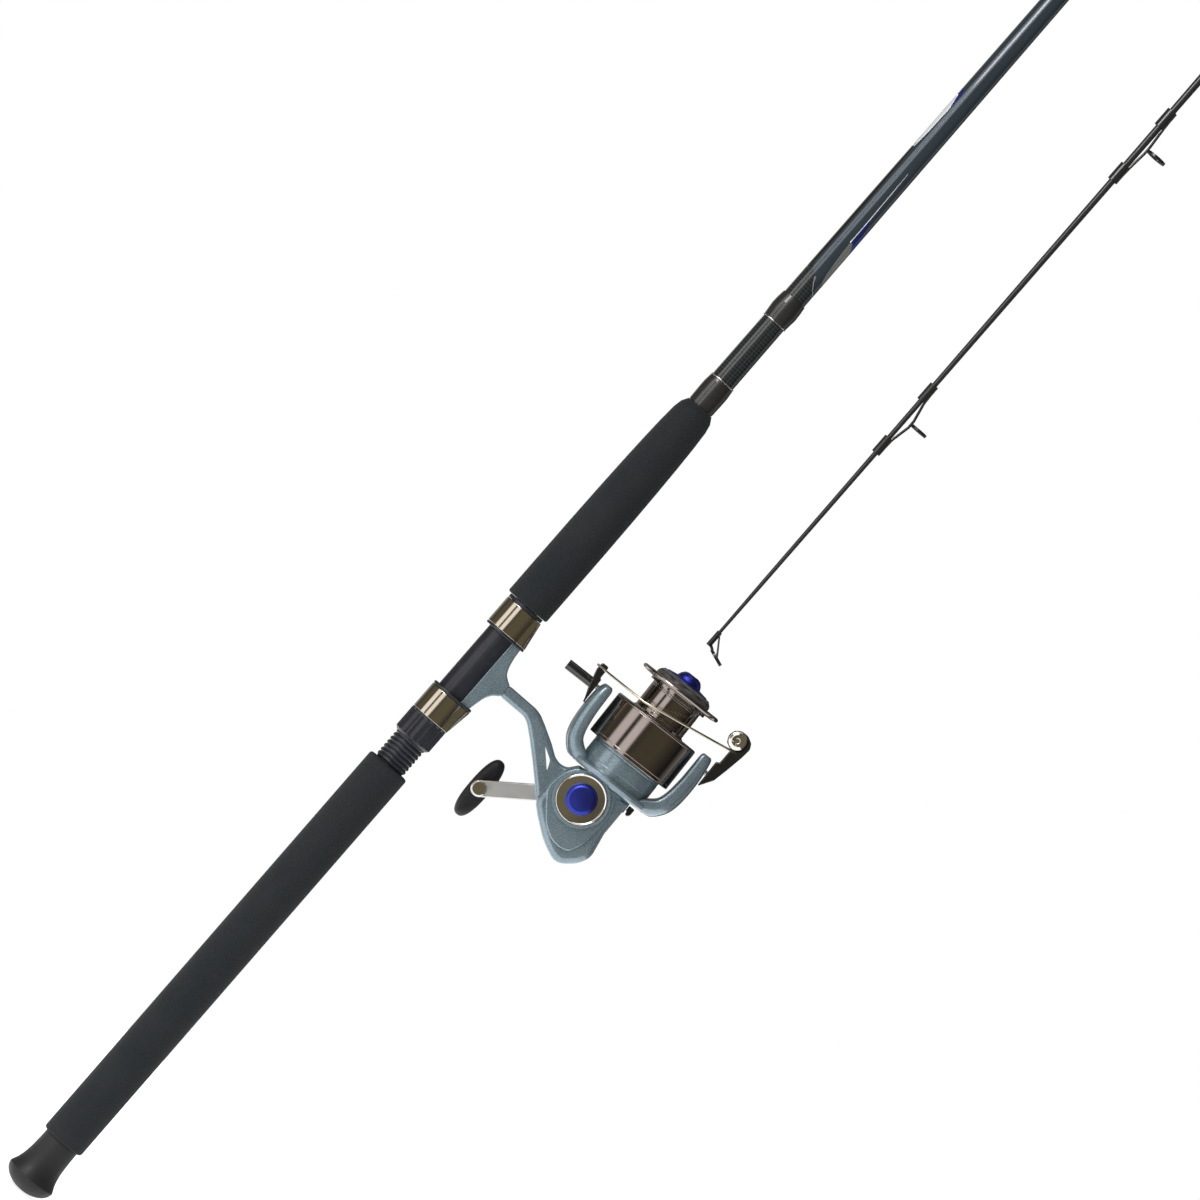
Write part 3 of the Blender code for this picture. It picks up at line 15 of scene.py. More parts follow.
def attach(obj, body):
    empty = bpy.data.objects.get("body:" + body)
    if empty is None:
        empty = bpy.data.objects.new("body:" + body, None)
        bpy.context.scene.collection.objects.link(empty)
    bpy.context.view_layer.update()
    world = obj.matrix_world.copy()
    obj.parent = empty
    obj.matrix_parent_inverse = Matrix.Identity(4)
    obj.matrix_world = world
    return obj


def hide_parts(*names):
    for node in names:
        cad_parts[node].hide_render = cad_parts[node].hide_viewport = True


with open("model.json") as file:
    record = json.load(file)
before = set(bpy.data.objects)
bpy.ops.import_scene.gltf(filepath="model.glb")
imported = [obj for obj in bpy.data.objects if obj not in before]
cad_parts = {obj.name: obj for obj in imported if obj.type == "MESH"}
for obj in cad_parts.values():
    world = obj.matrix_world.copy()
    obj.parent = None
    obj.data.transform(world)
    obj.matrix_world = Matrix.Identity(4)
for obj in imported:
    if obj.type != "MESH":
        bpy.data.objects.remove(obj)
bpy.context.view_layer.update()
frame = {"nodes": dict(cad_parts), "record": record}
RECORD = frame["record"]
BODY_OF = {node: body for body, nodes in RECORD["behaviour"]["bodies"].items() for node in nodes}
SLOT_OF = {part["node"]: part["material_slot"] for part in RECORD["subparts"]}

FINENESS = 4  # facets round a finished piece for each one round its CAD solid
FILLET = 0.00035  # on a turned piece's edges
CREASE = math.radians(32)
REST = Matrix.Identity(4)
PIECES = []
CUTTERS = []

# General fits
GAP = 0.0003  # between pieces that touch or slide on each other
ROUND_STEPS = 24  # facets round a large turned piece
SMALL_STEPS = 14  # facets round a small one
FACET_TURN = math.radians(5)  # keeps the edges of joined round pieces from meeting

# Butt cap
BUTT_CAP_LENGTH = 0.0469
BUTT_CAP_RADIUS = 0.0203
BUTT_CAP_NECK = 0.0145
BUTT_FACE_RADIUS = 0.006
BUTT_DOME_HEIGHT = 0.012
BUTT_CAP_FLOOR = 0.015

# Blank of the butt section, straight under the grips and then tapered
BLANK_RADIUS = 0.0099
BLANK_TOP_RADIUS = 0.0084
BLANK_TAPER_START = 0.78
BLANK_TOP = 1.195
BLANK_WALL = 0.0019
SPIGOT_RADIUS = 0.006
SPIGOT_LENGTH = 0.09
SPIGOT_REACH = 0.045

# Grips and seat
GRIP_RADIUS = 0.0176
GRIP_END_ROUND = 0.002
REAR_GRIP_LENGTH = 0.3733
SEAT_RADIUS = 0.0122
SEAT_LENGTH = 0.1574
SEAT_FLANGE_RADIUS = 0.0157
SEAT_FLANGE_LENGTH = 0.0029
THREAD_RADIUS = 0.0133
THREAD_PITCH = 0.0036
THREAD_TURNS = 12
NUT_RADIUS = 0.0161
NUT_LENGTH = 0.0214
NUT_START = 0.0247  # above the foot of the seat
NUT_FLUTES = 16
HOOD_RADIUS = 0.0159
HOOD_LENGTH = 0.0226
HOOD_RIM = 0.0022
HOOD_NARROW_REACH = 0.0166
HOOD_WIDE_REACH = 0.0199
HOOD_WIDTH = 0.0222
HOOD_STEPS = 32
HOOD_EDGE = 0.0006
FOREGRIP_RADIUS = 0.0186
FOREGRIP_LENGTH = 0.1978
FORE_WRAP_LENGTH = 0.0244
FORE_WRAP_RADIUS = 0.0112
TRIM_WIDTH = 0.0008
WEAVE_LENGTH = 0.0594
UPPER_WRAP_LENGTH = 0.0221

# Tip section
TIP_OFFSET = (0.1225, 0.048, 0.6458)
TIP_BLANK_START = 0.003
TIP_BLANK_LENGTH = 1.172
FERRULE_LENGTH = 0.09
FERRULE_GRIP = 0.025
FERRULE_WALL = 0.0020
GUIDE_PLACES = (0.227, 0.501, 0.82, 1.1)
GUIDE_RADII = (0.00715, 0.00835, 0.0145, 0.0195)
GUIDE_HEIGHTS = (0.0137, 0.0137, 0.0245, 0.0325)
GUIDE_FOOT_SPANS = (0.0262, 0.027, 0.034, 0.04)
GUIDE_RING_WALL = 0.0013
GUIDE_RING_WIDTH = 0.0024
GUIDE_INSERT_WALL = 0.0010
BINDING_LENGTH = 0.0155
BINDING_WALL = 0.0013
TIP_TOP_LENGTH = 0.0135
TIP_TOP_RADIUS = 0.0021
TIP_RING_RADIUS = 0.007
TIP_RING_HEIGHT = 0.0105
TIP_RING_DROP = 0.0032
TIP_RING_LEAN = math.radians(19.5)

# Reel: where its rotor axis meets the back of the rotor, and how far the axis leans to the rod
REEL_REACH = 0.1334
REEL_HEIGHT = 0.51675
REEL_TILT = math.radians(2.6)

# Rotor and bail, heights along the reel axis
ROTOR_RIM_RADIUS = 0.0362
ROTOR_RIM_LENGTH = 0.0055
ROTOR_CUP_RADIUS = 0.0296
ROTOR_CUP_FRONT = 0.052
ROTOR_CUP_WALL = 0.0026
ROTOR_FLOOR_LOW = 0.007
ROTOR_FLOOR_HIGH = 0.011
ROTOR_ARM_RADIUS = 0.0523
ROTOR_ARM_FRONTS = (0.0593, 0.0640)
ROTOR_ARM_WIDTH = 0.030
BAIL_PIVOT = 0.053
BAIL_ARM_WIDTH = 0.011
BAIL_SCREW_RADIUS = 0.0020
BAIL_HEAD_RADIUS = 0.0038
BAIL_WIRE_RADIUS = 0.0009
BAIL_BALL_RADIUS = 0.0041
BAIL_HALF_SPAN = 0.0618
BAIL_DEPTH = 0.0745
WIRE_HEIGHT = 0.0668
WIRE_RISE = 0.155
WIRE_RISE_START = -0.018
ROLLER_REACH = 0.0556
ROLLER_HEIGHT = 0.0866
ROLLER_RADIUS = 0.0055
ROLLER_WIDTH = 0.008
ROLLER_PIN_RADIUS = 0.0022
ROLLER_COVER_RADIUS = 0.0075
ROLLER_COVER_THICKNESS = 0.0034

# Spool, shaft and drag
SPOOL_BACK = 0.02475
SPOOL_SHOULDER = 0.0606
SPOOL_FRONT = 0.0903
SPOOL_SKIRT_RADIUS = 0.0364
SPOOL_SKIRT_WALL = 0.0024
SPOOL_ARBOR_RADIUS = 0.02175
SPOOL_LIP_RADIUS = 0.0353
DRAG_POCKET_RADIUS = 0.0170
DRAG_POCKET_FLOOR = 0.068
DRAG_KNOB_RADIUS = 0.0242
DRAG_KNOB_START = 0.0843
DRAG_KNOB_FRONT = 0.0964
DRAG_KNOB_NOTCHES = 10
DRAG_INSERT_RADIUS = 0.01875
DRAG_INSERT_FRONT = 0.1044
SHAFT_RADIUS = 0.003
SHAFT_BACK = -0.054

# Gear train
PINION_RADIUS = 0.0046
GEAR_AXIS_REACH = 0.12525
GEAR_AXIS_HEIGHT = 0.4965
GEAR_SHAFT_RADIUS = 0.0045
SHANK_RADIUS = 0.003
SHANK_COLLAR_RADIUS = 0.0068
BEARING_RADIUS = 0.0085
BEARING_WIDTH = 0.004
PINION_BEARING_RADIUS = 0.010
CLUTCH_RADIUS = 0.0165

# Reel body
COVER_LEFT = -0.019
COVER_ROUNDING = 0.005
PARTING = -0.008  # the plane across Y where the side cover meets the body
PANEL_RAISE = 0.002
BODY_RIGHT = 0.018
BODY_WALL = 0.0032
BODY_ROUNDING = 0.007
ROTOR_GAP = 0.0008  # between the body's front and the rotor's back
COLLAR_RADIUS = 0.0220
STEM_WIDTH = 0.013
FOOT_WIDTH = 0.016
DISH_RADIUS = 0.01935
DISH_HOLLOW_RADIUS = 0.013
DISH_RING_RADIUS = 0.02235
CAP_RADIUS = 0.0114
BOSS_RADIUS = 0.0125
BOSS_END = 0.0242

# Handle
HANDLE_ARM_START = 0.0705  # outside the sweep of the rotor and the bail wire
HANDLE_ARM_THICKNESS = 0.0045
HANDLE_ARM_WIDTH = 0.013
HANDLE_KNOB_AXIS = (0.0626, 0.4494)
KNOB_LENGTH = 0.0528
KNOB_THICKNESS = 0.0169
KNOB_DEPTH = 0.026
KNOB_CLEARANCE = 0.0017
KNOB_START = HANDLE_ARM_START + HANDLE_ARM_THICKNESS + KNOB_CLEARANCE
KNOB_STEPS = 28
SPINDLE_RADIUS = 0.0025
SPINDLE_HEAD_RADIUS = 0.0058

UPRIGHT = (math.pi / 2, 0, 0)  # stands a flat outline up: its (x, y) become (X, Z)
ACROSS = (-math.pi / 2, 0, 0)  # lays a turned piece's axis along +Y
ALONG_X = (0, math.pi / 2, 0)  # lays a turned piece's axis along +X


# Materials


def look(name, colour, roughness, metallic=0.0, **sockets):
    """A Principled material. Extra sockets are set by their labels, with _ for a space."""
    made = bpy.data.materials.new(name)
    made.use_nodes = True
    shader = made.node_tree.nodes["Principled BSDF"]
    shader.inputs["Base Color"].default_value = (*colour, 1)
    shader.inputs["Roughness"].default_value = roughness
    shader.inputs["Metallic"].default_value = metallic
    for label, value in sockets.items():
        shader.inputs[label.replace("_", " ").title().replace("Ior", "IOR")].default_value = value
    return made


def put(made, kind, inputs=(), **settings):
    """Adds a node, sets its properties, and feeds its inputs in order with links or values."""
    node = made.node_tree.nodes.new("ShaderNode" + kind)
    for name, value in settings.items():
        setattr(node, name, value)
    for socket, value in inputs:
        if isinstance(value, bpy.types.NodeSocket):
            made.node_tree.links.new(value, node.inputs[socket])
        else:
            node.inputs[socket].default_value = value
    return node


def feed(made, label, socket):
    made.node_tree.links.new(socket, made.node_tree.nodes["Principled BSDF"].inputs[label])


def place_on(made, stretch=(1, 1, 1)):
    """The piece's own coordinates, in metres, stretched along its axes."""
    spot = put(made, "TexCoord")
    return put(made, "Mapping", [("Vector", spot.outputs["Object"]), ("Scale", stretch)]).outputs["Vector"]


def noise(made, scale, vector, detail=3.0, rough=0.55):
    inputs = [("Vector", vector), ("Scale", scale), ("Detail", detail), ("Roughness", rough)]
    return put(made, "TexNoise", inputs).outputs["Fac"]


def cells(made, scale, vector, output="Distance"):
    return put(made, "TexVoronoi", [("Vector", vector), ("Scale", scale)]).outputs[output]


def sum_of(made, operation, *values):
    return put(made, "Math", list(enumerate(values)), operation=operation).outputs[0]


def shades(made, fac, *stops):
    """A colour ramp through (position, colour) stops."""
    node = put(made, "ValToRGB", [("Fac", fac)])
    ramp = node.color_ramp
    while len(ramp.elements) < len(stops):
        ramp.elements.new(0.5)
    for element, (position, colour) in zip(ramp.elements, stops):
        element.position = position
        element.color = (*colour, 1) if isinstance(colour, tuple) else (colour, colour, colour, 1)
    return node.outputs["Color"]


def blend(made, fac, first, second):
    """Colour first where fac is 0 and second where it is 1."""
    node = put(made, "Mix", data_type="RGBA")
    for socket, value in ((node.inputs[0], fac), (node.inputs[6], first), (node.inputs[7], second)):
        if isinstance(value, bpy.types.NodeSocket):
            made.node_tree.links.new(value, socket)
        elif isinstance(value, tuple):
            socket.default_value = (*value, 1)
        else:
            socket.default_value = value
    return node.outputs[2]


def relief(made, height, depth, strength=1.0, onto=None):
    inputs = [("Height", height), ("Distance", depth), ("Strength", strength)]
    if onto:
        inputs.append(("Normal", onto))
    normal = put(made, "Bump", inputs).outputs["Normal"]
    feed(made, "Normal", normal)
    return normal


def scaled(colour, factor):
    return tuple(channel * factor for channel in colour)


def edge_wear(made):
    """0 on flat surface and 1 on convex edges."""
    pointy = put(made, "NewGeometry").outputs["Pointiness"]
    return shades(made, pointy, (0.52, 0.0), (0.60, 1.0))


def foam_look(name):
    """Closed-cell EVA foam: fine pitted cells, a dusty bloom and slight patches of wear."""
    tone = (0.0125, 0.0155, 0.0180)
    made = look(name, tone, 0.82, sheen_weight=0.04, sheen_roughness=0.6, specular_ior_level=0.3)
    spot = place_on(made)
    pits = cells(made, 950, spot)
    grain = noise(made, 1700, spot, 4.0)
    patch = noise(made, 26, spot, 2.0)
    speck = shades(made, grain, (0.35, scaled(tone, 0.62)), (0.56, tone), (0.74, scaled(tone, 2.1)))
    bloom = blend(made, sum_of(made, "MULTIPLY", patch, 0.35), speck, scaled(tone, 1.7))
    feed(made, "Base Color", bloom)
    feed(made, "Roughness", shades(made, patch, (0.3, 0.72), (0.7, 0.92)))
    height = sum_of(made, "ADD", pits, sum_of(made, "MULTIPLY", grain, 0.6))
    relief(made, height, 0.00028, 0.8)
    return made


def rubber_look(name):
    tone = (0.012, 0.0128, 0.0145)
    made = look(name, tone, 0.5, specular_ior_level=0.4)
    spot = place_on(made)
    grain = noise(made, 2600, spot, 3.0)
    smear = noise(made, 60, spot, 3.0)
    feed(made, "Base Color", blend(made, edge_wear(made), tone, scaled(tone, 2.6)))
    feed(made, "Roughness", shades(made, smear, (0.3, 0.42), (0.7, 0.62)))
    relief(made, grain, 0.00006, 0.6)
    return made


def plastic_look(name, tone, roughness, coat=0.0):
    """Moulded plastic with a fine texture, faint smears and paler worn edges."""
    made = look(name, tone, roughness, coat_weight=coat, coat_roughness=0.06)
    spot = place_on(made)
    smear = noise(made, 90, spot, 4.0)
    feed(made, "Base Color", blend(made, edge_wear(made), tone, scaled(tone, 2.2)))
    feed(made, "Roughness", shades(made, smear, (0.3, roughness * 0.8), (0.72, roughness * 1.3)))
    relief(made, noise(made, 3200, spot, 2.0), 0.00003, 0.5)
    return made


def thread_look(name, tone):
    """Whipping thread with its fine turns, under a thick coat of varnish."""
    made = look(name, tone, 0.42, coat_weight=1.0, coat_roughness=0.03)
    spot = place_on(made)
    inputs = [("Vector", spot), ("Scale", 1250.0), ("Distortion", 0.4)]
    turns = put(made, "TexWave", inputs, bands_direction="Z")
    feed(made, "Base Color", blend(made, turns.outputs["Fac"], scaled(tone, 0.6), scaled(tone, 2.4)))
    relief(made, turns.outputs["Fac"], 0.00005, 0.35)
    return made


def metal_look(name, tone, roughness, lines=0.25, scratch=0.3, direction="Z"):
    """Bare or plated metal with the fine rings that a lathe leaves, hairline scratches and smears."""
    made = look(name, tone, roughness, 1.0)
    stretch = (1, 1, 60) if direction == "Z" else (60, 1, 1)
    fine = noise(made, 90, place_on(made, stretch), 4.0, 0.7)
    smear = noise(made, 70, place_on(made), 3.0)
    hairs = noise(made, 260, place_on(made, (1, 1, 0.05)), 2.0, 0.4)
    feed(made, "Base Color", blend(made, sum_of(made, "MULTIPLY", smear, 0.4), tone, scaled(tone, 0.72)))
    level = sum_of(made, "ADD", sum_of(made, "MULTIPLY", fine, lines * roughness * 2), roughness * 0.6)
    feed(made, "Roughness", sum_of(made, "ADD", level, sum_of(made, "MULTIPLY", smear, roughness * 0.5)))
    rings, marks = sum_of(made, "MULTIPLY", fine, lines), sum_of(made, "MULTIPLY", hairs, scratch)
    relief(made, sum_of(made, "ADD", rings, marks), 0.00002, 0.35)
    return made


def flake_look(name, tone, dark, roughness=0.3, metallic=0.55):
    """Metallic paint: bright flakes in a coloured lacquer, clear-coated, slightly uneven."""
    made = look(name, tone, roughness, metallic, coat_weight=0.7, coat_roughness=0.07)
    spot = place_on(made)
    flake = cells(made, 3400, spot, "Color")
    sparkle = put(made, "SeparateColor", [("Color", flake)]).outputs["Red"]
    cloud = noise(made, 34, spot, 3.0)
    colour = blend(made, shades(made, cloud, (0.32, 0.0), (0.70, 1.0)), dark, tone)
    lit = blend(made, shades(made, sparkle, (0.55, 0.0), (0.98, 0.55)), colour, scaled(tone, 1.75))
    worn = blend(made, sum_of(made, "MULTIPLY", edge_wear(made), 0.35), lit, scaled(tone, 1.9))
    feed(made, "Base Color", worn)
    feed(made, "Roughness", shades(made, sparkle, (0.0, roughness * 0.8), (1.0, roughness * 1.25)))
    relief(made, sum_of(made, "ADD", sparkle, noise(made, 420, spot, 2.0)), 0.000012, 0.5)
    return made


def blank_look(name):
    """The butt section's blank: bias-wrapped carbon tape up to a slanted edge, then slate lacquer."""
    slate, deep = (0.055, 0.080, 0.105), (0.030, 0.045, 0.062)
    made = look(name, slate, 0.22, coat_weight=1.0, coat_roughness=0.04)
    axes = put(made, "SeparateXYZ", [("Vector", place_on(made))])
    x, y, z = axes.outputs
    angle = sum_of(made, "ARCTAN2", y, x)
    around = sum_of(made, "MULTIPLY", angle, WEAVE_CELLS / (2 * math.pi))
    along = sum_of(made, "DIVIDE", z, WEAVE_PITCH)
    first = sum_of(made, "ADD", around, along)
    second = sum_of(made, "SUBTRACT", along, around)
    grid = put(made, "CombineXYZ", [("X", first), ("Y", second), ("Z", 0.5)]).outputs[0]
    check = put(made, "TexChecker", [("Vector", grid), ("Scale", 1.0)]).outputs["Fac"]
    fibres, cross = (
        noise(made, 1.0, put(made, "Mapping", [("Vector", grid), ("Scale", stretch)]).outputs[0], 2.0)
        for stretch in ((28, 2, 1), (2, 28, 1))
    )
    light = shades(made, fibres, (0.3, (0.012, 0.020, 0.024)), (0.7, (0.034, 0.052, 0.060)))
    shade = shades(made, cross, (0.3, (0.004, 0.005, 0.006)), (0.7, (0.014, 0.017, 0.018)))
    weave = blend(made, check, shade, light)
    mist = noise(made, 40, place_on(made, (1, 1, 0.15)), 3.0)
    lacquer = blend(made, mist, deep, slate)
    turn = sum_of(made, "ABSOLUTE", angle)  # 0 on the reel's side of the blank
    edge = sum_of(made, "ADD", sum_of(made, "MULTIPLY", turn, TAPE_EDGE_RISE / math.pi), TAPE_EDGE_LOW)
    above = sum_of(made, "GREATER_THAN", z, edge)
    feed(made, "Base Color", blend(made, above, weave, lacquer))
    feed(made, "Metallic", sum_of(made, "MULTIPLY", above, 0.35))
    relief(made, sum_of(made, "MULTIPLY", check, sum_of(made, "SUBTRACT", 1.0, above)), 0.00003, 0.4)
    return made


def tip_look(name):
    """The tip section's satin slate-black blank, with the faint spiral left by its moulding tape."""
    tone = (0.016, 0.018, 0.022)
    made = look(name, tone, 0.35, coat_weight=0.6, coat_roughness=0.12)
    spot = place_on(made)
    x, y, z = put(made, "SeparateXYZ", [("Vector", spot)]).outputs
    turn = sum_of(made, "DIVIDE", sum_of(made, "ARCTAN2", y, x), 2 * math.pi)
    spiral = sum_of(made, "FRACT", sum_of(made, "ADD", sum_of(made, "DIVIDE", z, 0.0042), turn))
    mist = noise(made, 50, spot, 3.0)
    feed(made, "Base Color", blend(made, mist, scaled(tone, 0.7), scaled(tone, 1.8)))
    relief(made, sum_of(made, "PINGPONG", spiral, 0.5), 0.00005, 0.4)
    return made


def felt_look(name):
    tone = (0.10, 0.09, 0.08)
    made = look(name, tone, 0.95, sheen_weight=0.4)
    fibres = noise(made, 1400, place_on(made), 5.0)
    feed(made, "Base Color", blend(made, fibres, scaled(tone, 0.5), scaled(tone, 1.6)))
    relief(made, fibres, 0.0002, 0.8)
    return made


WEAVE_CELLS = 22
WEAVE_PITCH = 0.0027
TAPE_EDGE_LOW = 0.8915
TAPE_EDGE_RISE = 0.0300
SLATE, SLATE_DARK = (0.225, 0.300, 0.345), (0.160, 0.220, 0.260)

LOOKS = {
    "grip_foam": foam_look("grip_foam_finish"),
    "black_rubber": rubber_look("black_rubber_finish"),
    "carbon_blank": blank_look("carbon_blank_finish"),
    "slate_blank": tip_look("slate_blank_finish"),
    "black_gloss": thread_look("black_gloss_finish", (0.0085, 0.009, 0.010)),
    "black_plastic": plastic_look("black_plastic_finish", (0.016, 0.018, 0.026), 0.34),
    "black_lacquer": plastic_look("black_lacquer_finish", (0.0075, 0.008, 0.009), 0.2, 0.8),
    "nickel": metal_look("nickel_finish", (0.56, 0.52, 0.44), 0.11, 0.35),
    "silver_trim": metal_look("silver_trim_finish", (0.78, 0.79, 0.80), 0.15, 0.2),
    "slate_paint": flake_look("slate_paint_finish", SLATE, SLATE_DARK),
    "spool_metal": metal_look("spool_metal_finish", (0.31, 0.275, 0.262), 0.09, 0.5),
    "chrome": metal_look("chrome_finish", (0.80, 0.78, 0.74), 0.06, 0.3),
    "blue_anodised": metal_look("blue_anodised_finish", (0.045, 0.060, 0.42), 0.34, 0.2),
    "drag_grey": plastic_look("drag_grey_finish", (0.075, 0.072, 0.070), 0.42),
    "wire": metal_look("wire_finish", (0.50, 0.46, 0.36), 0.16, 0.3, direction="X"),
    "brass": metal_look("brass_finish", (0.72, 0.52, 0.22), 0.28, 0.5),
    "steel": metal_look("steel_finish", (0.56, 0.57, 0.59), 0.22, 0.5),
    "satin_silver": metal_look("satin_silver_finish", (0.72, 0.72, 0.71), 0.34, 0.4),
    "ceramic": plastic_look("ceramic_finish", (0.02, 0.02, 0.024), 0.12, 0.6),
    "felt": felt_look("felt_finish"),
    "silver_ink": flake_look("silver_ink_finish", (0.42, 0.45, 0.47), (0.34, 0.37, 0.40), 0.3, 0.4),
    "blue_ink": flake_look("blue_ink_finish", (0.012, 0.025, 0.22), (0.008, 0.015, 0.13), 0.25, 0.3),
    "grey_ink": flake_look("grey_ink_finish", (0.24, 0.245, 0.225), (0.17, 0.175, 0.160), 0.35, 0.3),
    # White for the printed keyline, and also for the painted highlight patch on the blank's far side
    "white_print_and_painted_highlight": plastic_look("white_print_and_painted_highlight_finish", (0.80, 0.82, 0.84), 0.25, 0.8),
}
EXTRA_SLOTS = {  # the record's slot for each look that has none of its own
    "silver_ink": "silver_trim",
    "grey_ink": "silver_trim",
    "white_print_and_painted_highlight": "silver_trim",
    "blue_ink": "blue_anodised",
    "black_lacquer": "black_gloss",
}


# Building blocks


def linked(name, data):
    """A new object with this data, in the scene."""
    obj = bpy.data.objects.new(name, data)
    bpy.context.scene.collection.objects.link(obj)
    return obj


def frame_at(parent=REST, at=(0, 0, 0), turn=(0, 0, 0)):
    return parent @ Matrix.Translation(at) @ Euler(turn).to_matrix().to_4x4()


def place(name, data, finish, parent, at, turn, body=None):
    """Adds a finished piece, which stands for the CAD node of its name, or a cutter where finish is None."""
    node = name if name in BODY_OF else None
    obj = linked("fine_" + name if node else name, data)
    obj.matrix_world = frame_at(parent, at, turn)
    if finish is None:
        CUTTERS.append(obj)
        return obj
    data.materials.append(LOOKS[finish])
    PIECES.append((obj, node, body or BODY_OF[node], EXTRA_SLOTS.get(finish, finish)))
    return obj


def mesh_of(name, work):
    mesh = bpy.data.meshes.new(name)
    work.to_mesh(mesh)
    work.free()
    return mesh


def eased(points, size, closed=True, steps=3, keep=()):
    """The points with each corner over 12 degrees rounded, by up to size along its sides."""
    places = [Vector(point) for point in points]
    result = []
    for i, corner in enumerate(places):
        ends = i in keep or not closed and i in (0, len(places) - 1)
        before, after = places[i - 1], places[(i + 1) % len(places)]
        back, on = before - corner, after - corner
        if ends or back.length < 1e-7 or on.length < 1e-7 or back.angle(on) > math.radians(168):
            result.append(tuple(corner))
            continue
        reach = min(size, 0.45 * back.length, 0.45 * on.length)
        start, end = corner + back.normalized() * reach, corner + on.normalized() * reach
        for k in range(steps + 1):
            share = k / steps
            point = start * (1 - share) ** 2 + corner * 2 * share * (1 - share) + end * share**2
            result.append(tuple(point))
    return result


def turned(name, finish, profile, parent=REST, at=(0, 0, 0), turn=(0, 0, 0), steps=ROUND_STEPS, **options):
    """A turned piece about local Z. Its (radius, height) profile runs down the outer side."""
    closed = min(profile[0][0], profile[-1][0]) > 0
    fillet = options.pop("fillet", FILLET if finish else 0)
    if fillet:
        profile = eased(profile, fillet, closed)
    count = steps * FINENESS
    work = bmesh.new()
    rings = []
    for radius, height in profile:
        spread = count if radius > 0 else 1
        angles = [2 * math.pi * i / spread for i in range(spread)]
        rings.append([work.verts.new((radius * math.cos(a), radius * math.sin(a), height)) for a in angles])
    for first, second in zip(rings, rings[1:] + (rings[:1] if closed else [])):
        for i in range(count if len(first) + len(second) > 2 else 0):
            corners = [first[i % len(first)], first[(i + 1) % len(first)]]
            corners += [second[(i + 1) % len(second)], second[i % len(second)]]
            work.faces.new(list(dict.fromkeys(corners)))
    bmesh.ops.recalc_face_normals(work, faces=work.faces)
    return place(name, mesh_of(name, work), finish, parent, at, turn, **options)


def rod_profile(radius, low, high):
    return [(0, high), (radius, high), (radius, low), (0, low)]


def ring_profile(radius, bore, low, high):
    return [(radius, high), (radius, low), (bore, low), (bore, high)]


def evaluated_mesh(obj):
    """The mesh that an object's modifiers or curve make, with coincident points welded."""
    graph = bpy.context.evaluated_depsgraph_get()
    mesh = bpy.data.meshes.new_from_object(obj.evaluated_get(graph))
    work = bmesh.new()
    work.from_mesh(mesh)
    bmesh.ops.remove_doubles(work, verts=work.verts, dist=0.00001)
    bmesh.ops.recalc_face_normals(work, faces=work.faces)
    work.to_mesh(mesh)
    work.free()
    return mesh


def mesh_from_curve(curve):
    sketch = linked("sketch", curve)
    mesh = evaluated_mesh(sketch)
    bpy.data.objects.remove(sketch)
    mesh.materials.clear()
    return mesh


def spline_through(curve, places):
    spline = curve.splines.new("POLY")
    spline.points.add(len(places) - 1)
    for point, at in zip(spline.points, places):
        point.co = (*at, 1)
    return spline


def flat(name, finish, outline, depth, parent=REST, at=(0, 0, 0), turn=UPRIGHT, rounding=0.0, **options):
    """An outline given a thickness, centred on its plane, with its edges rounded over."""
    curve = bpy.data.curves.new(name, "CURVE")
    curve.dimensions = "2D"
    curve.fill_mode = "BOTH"
    curve.extrude = depth / 2 - rounding
    curve.bevel_depth = rounding
    curve.bevel_resolution = 5
    curve.offset = -rounding
    spline_through(curve, [(x, y, 0) for x, y in outline]).use_cyclic_u = True
    return place(name, mesh_from_curve(curve), finish, parent, at, turn, **options)


def tube(name, finish, points, radius, parent=REST, at=(0, 0, 0), turn=(0, 0, 0), **options):
    """A round bar along points."""
    curve = bpy.data.curves.new(name, "CURVE")
    curve.dimensions = "3D"
    curve.bevel_depth = radius
    curve.bevel_resolution = 5
    curve.use_fill_caps = True
    spline_through(curve, points)
    return place(name, mesh_from_curve(curve), finish, parent, at, turn, **options)


def ball(name, radius, parent, at):
    work = bmesh.new()
    bmesh.ops.create_uvsphere(work, u_segments=36, v_segments=24, radius=radius)
    return place(name, mesh_of(name, work), None, parent, at, (0, 0, 0))


def block(name, size, parent=REST, at=(0, 0, 0)):
    work = bmesh.new()
    bmesh.ops.create_cube(work, size=1)
    bmesh.ops.scale(work, vec=size, verts=work.verts)
    return place(name, mesh_of(name, work), None, parent, at, (0, 0, 0))


def loft(name, finish, sections, parent=REST):
    """A skin over closed sections with equal numbers of points, and flat ends."""
    work = bmesh.new()
    rings = [[work.verts.new(point) for point in section] for section in sections]
    for first, second in zip(rings, rings[1:]):
        for i in range(len(first)):
            work.faces.new((first[i - 1], first[i], second[i], second[i - 1]))
    work.faces.new(rings[0])
    work.faces.new(rings[-1])
    bmesh.ops.recalc_face_normals(work, faces=work.faces)
    return place(name, mesh_of(name, work), finish, parent, (0, 0, 0), (0, 0, 0))


def shape(obj, operation, other):
    step = obj.modifiers.new(operation.title(), "BOOLEAN")
    step.operation = operation
    step.object = other
    step.solver = "EXACT"


def join(obj, *others):
    for other in others:
        shape(obj, "UNION", other)


def cut(obj, *others):
    for other in others:
        shape(obj, "DIFFERENCE", other)


def drill(obj, name, radius, low, high, parent=REST, at=(0, 0, 0), turn=(0, 0, 0), **options):
    """Cuts a round hole along local Z between two heights."""
    cut(obj, turned(name, None, rod_profile(radius, low, high), parent, at, turn, **options))


def stud(obj, name, radius, low, high, parent=REST, at=(0, 0, 0), turn=(0, 0, 0), **options):
    """Joins a round stud along local Z between two heights."""
    join(obj, turned(name, None, rod_profile(radius, low, high), parent, at, turn, **options))


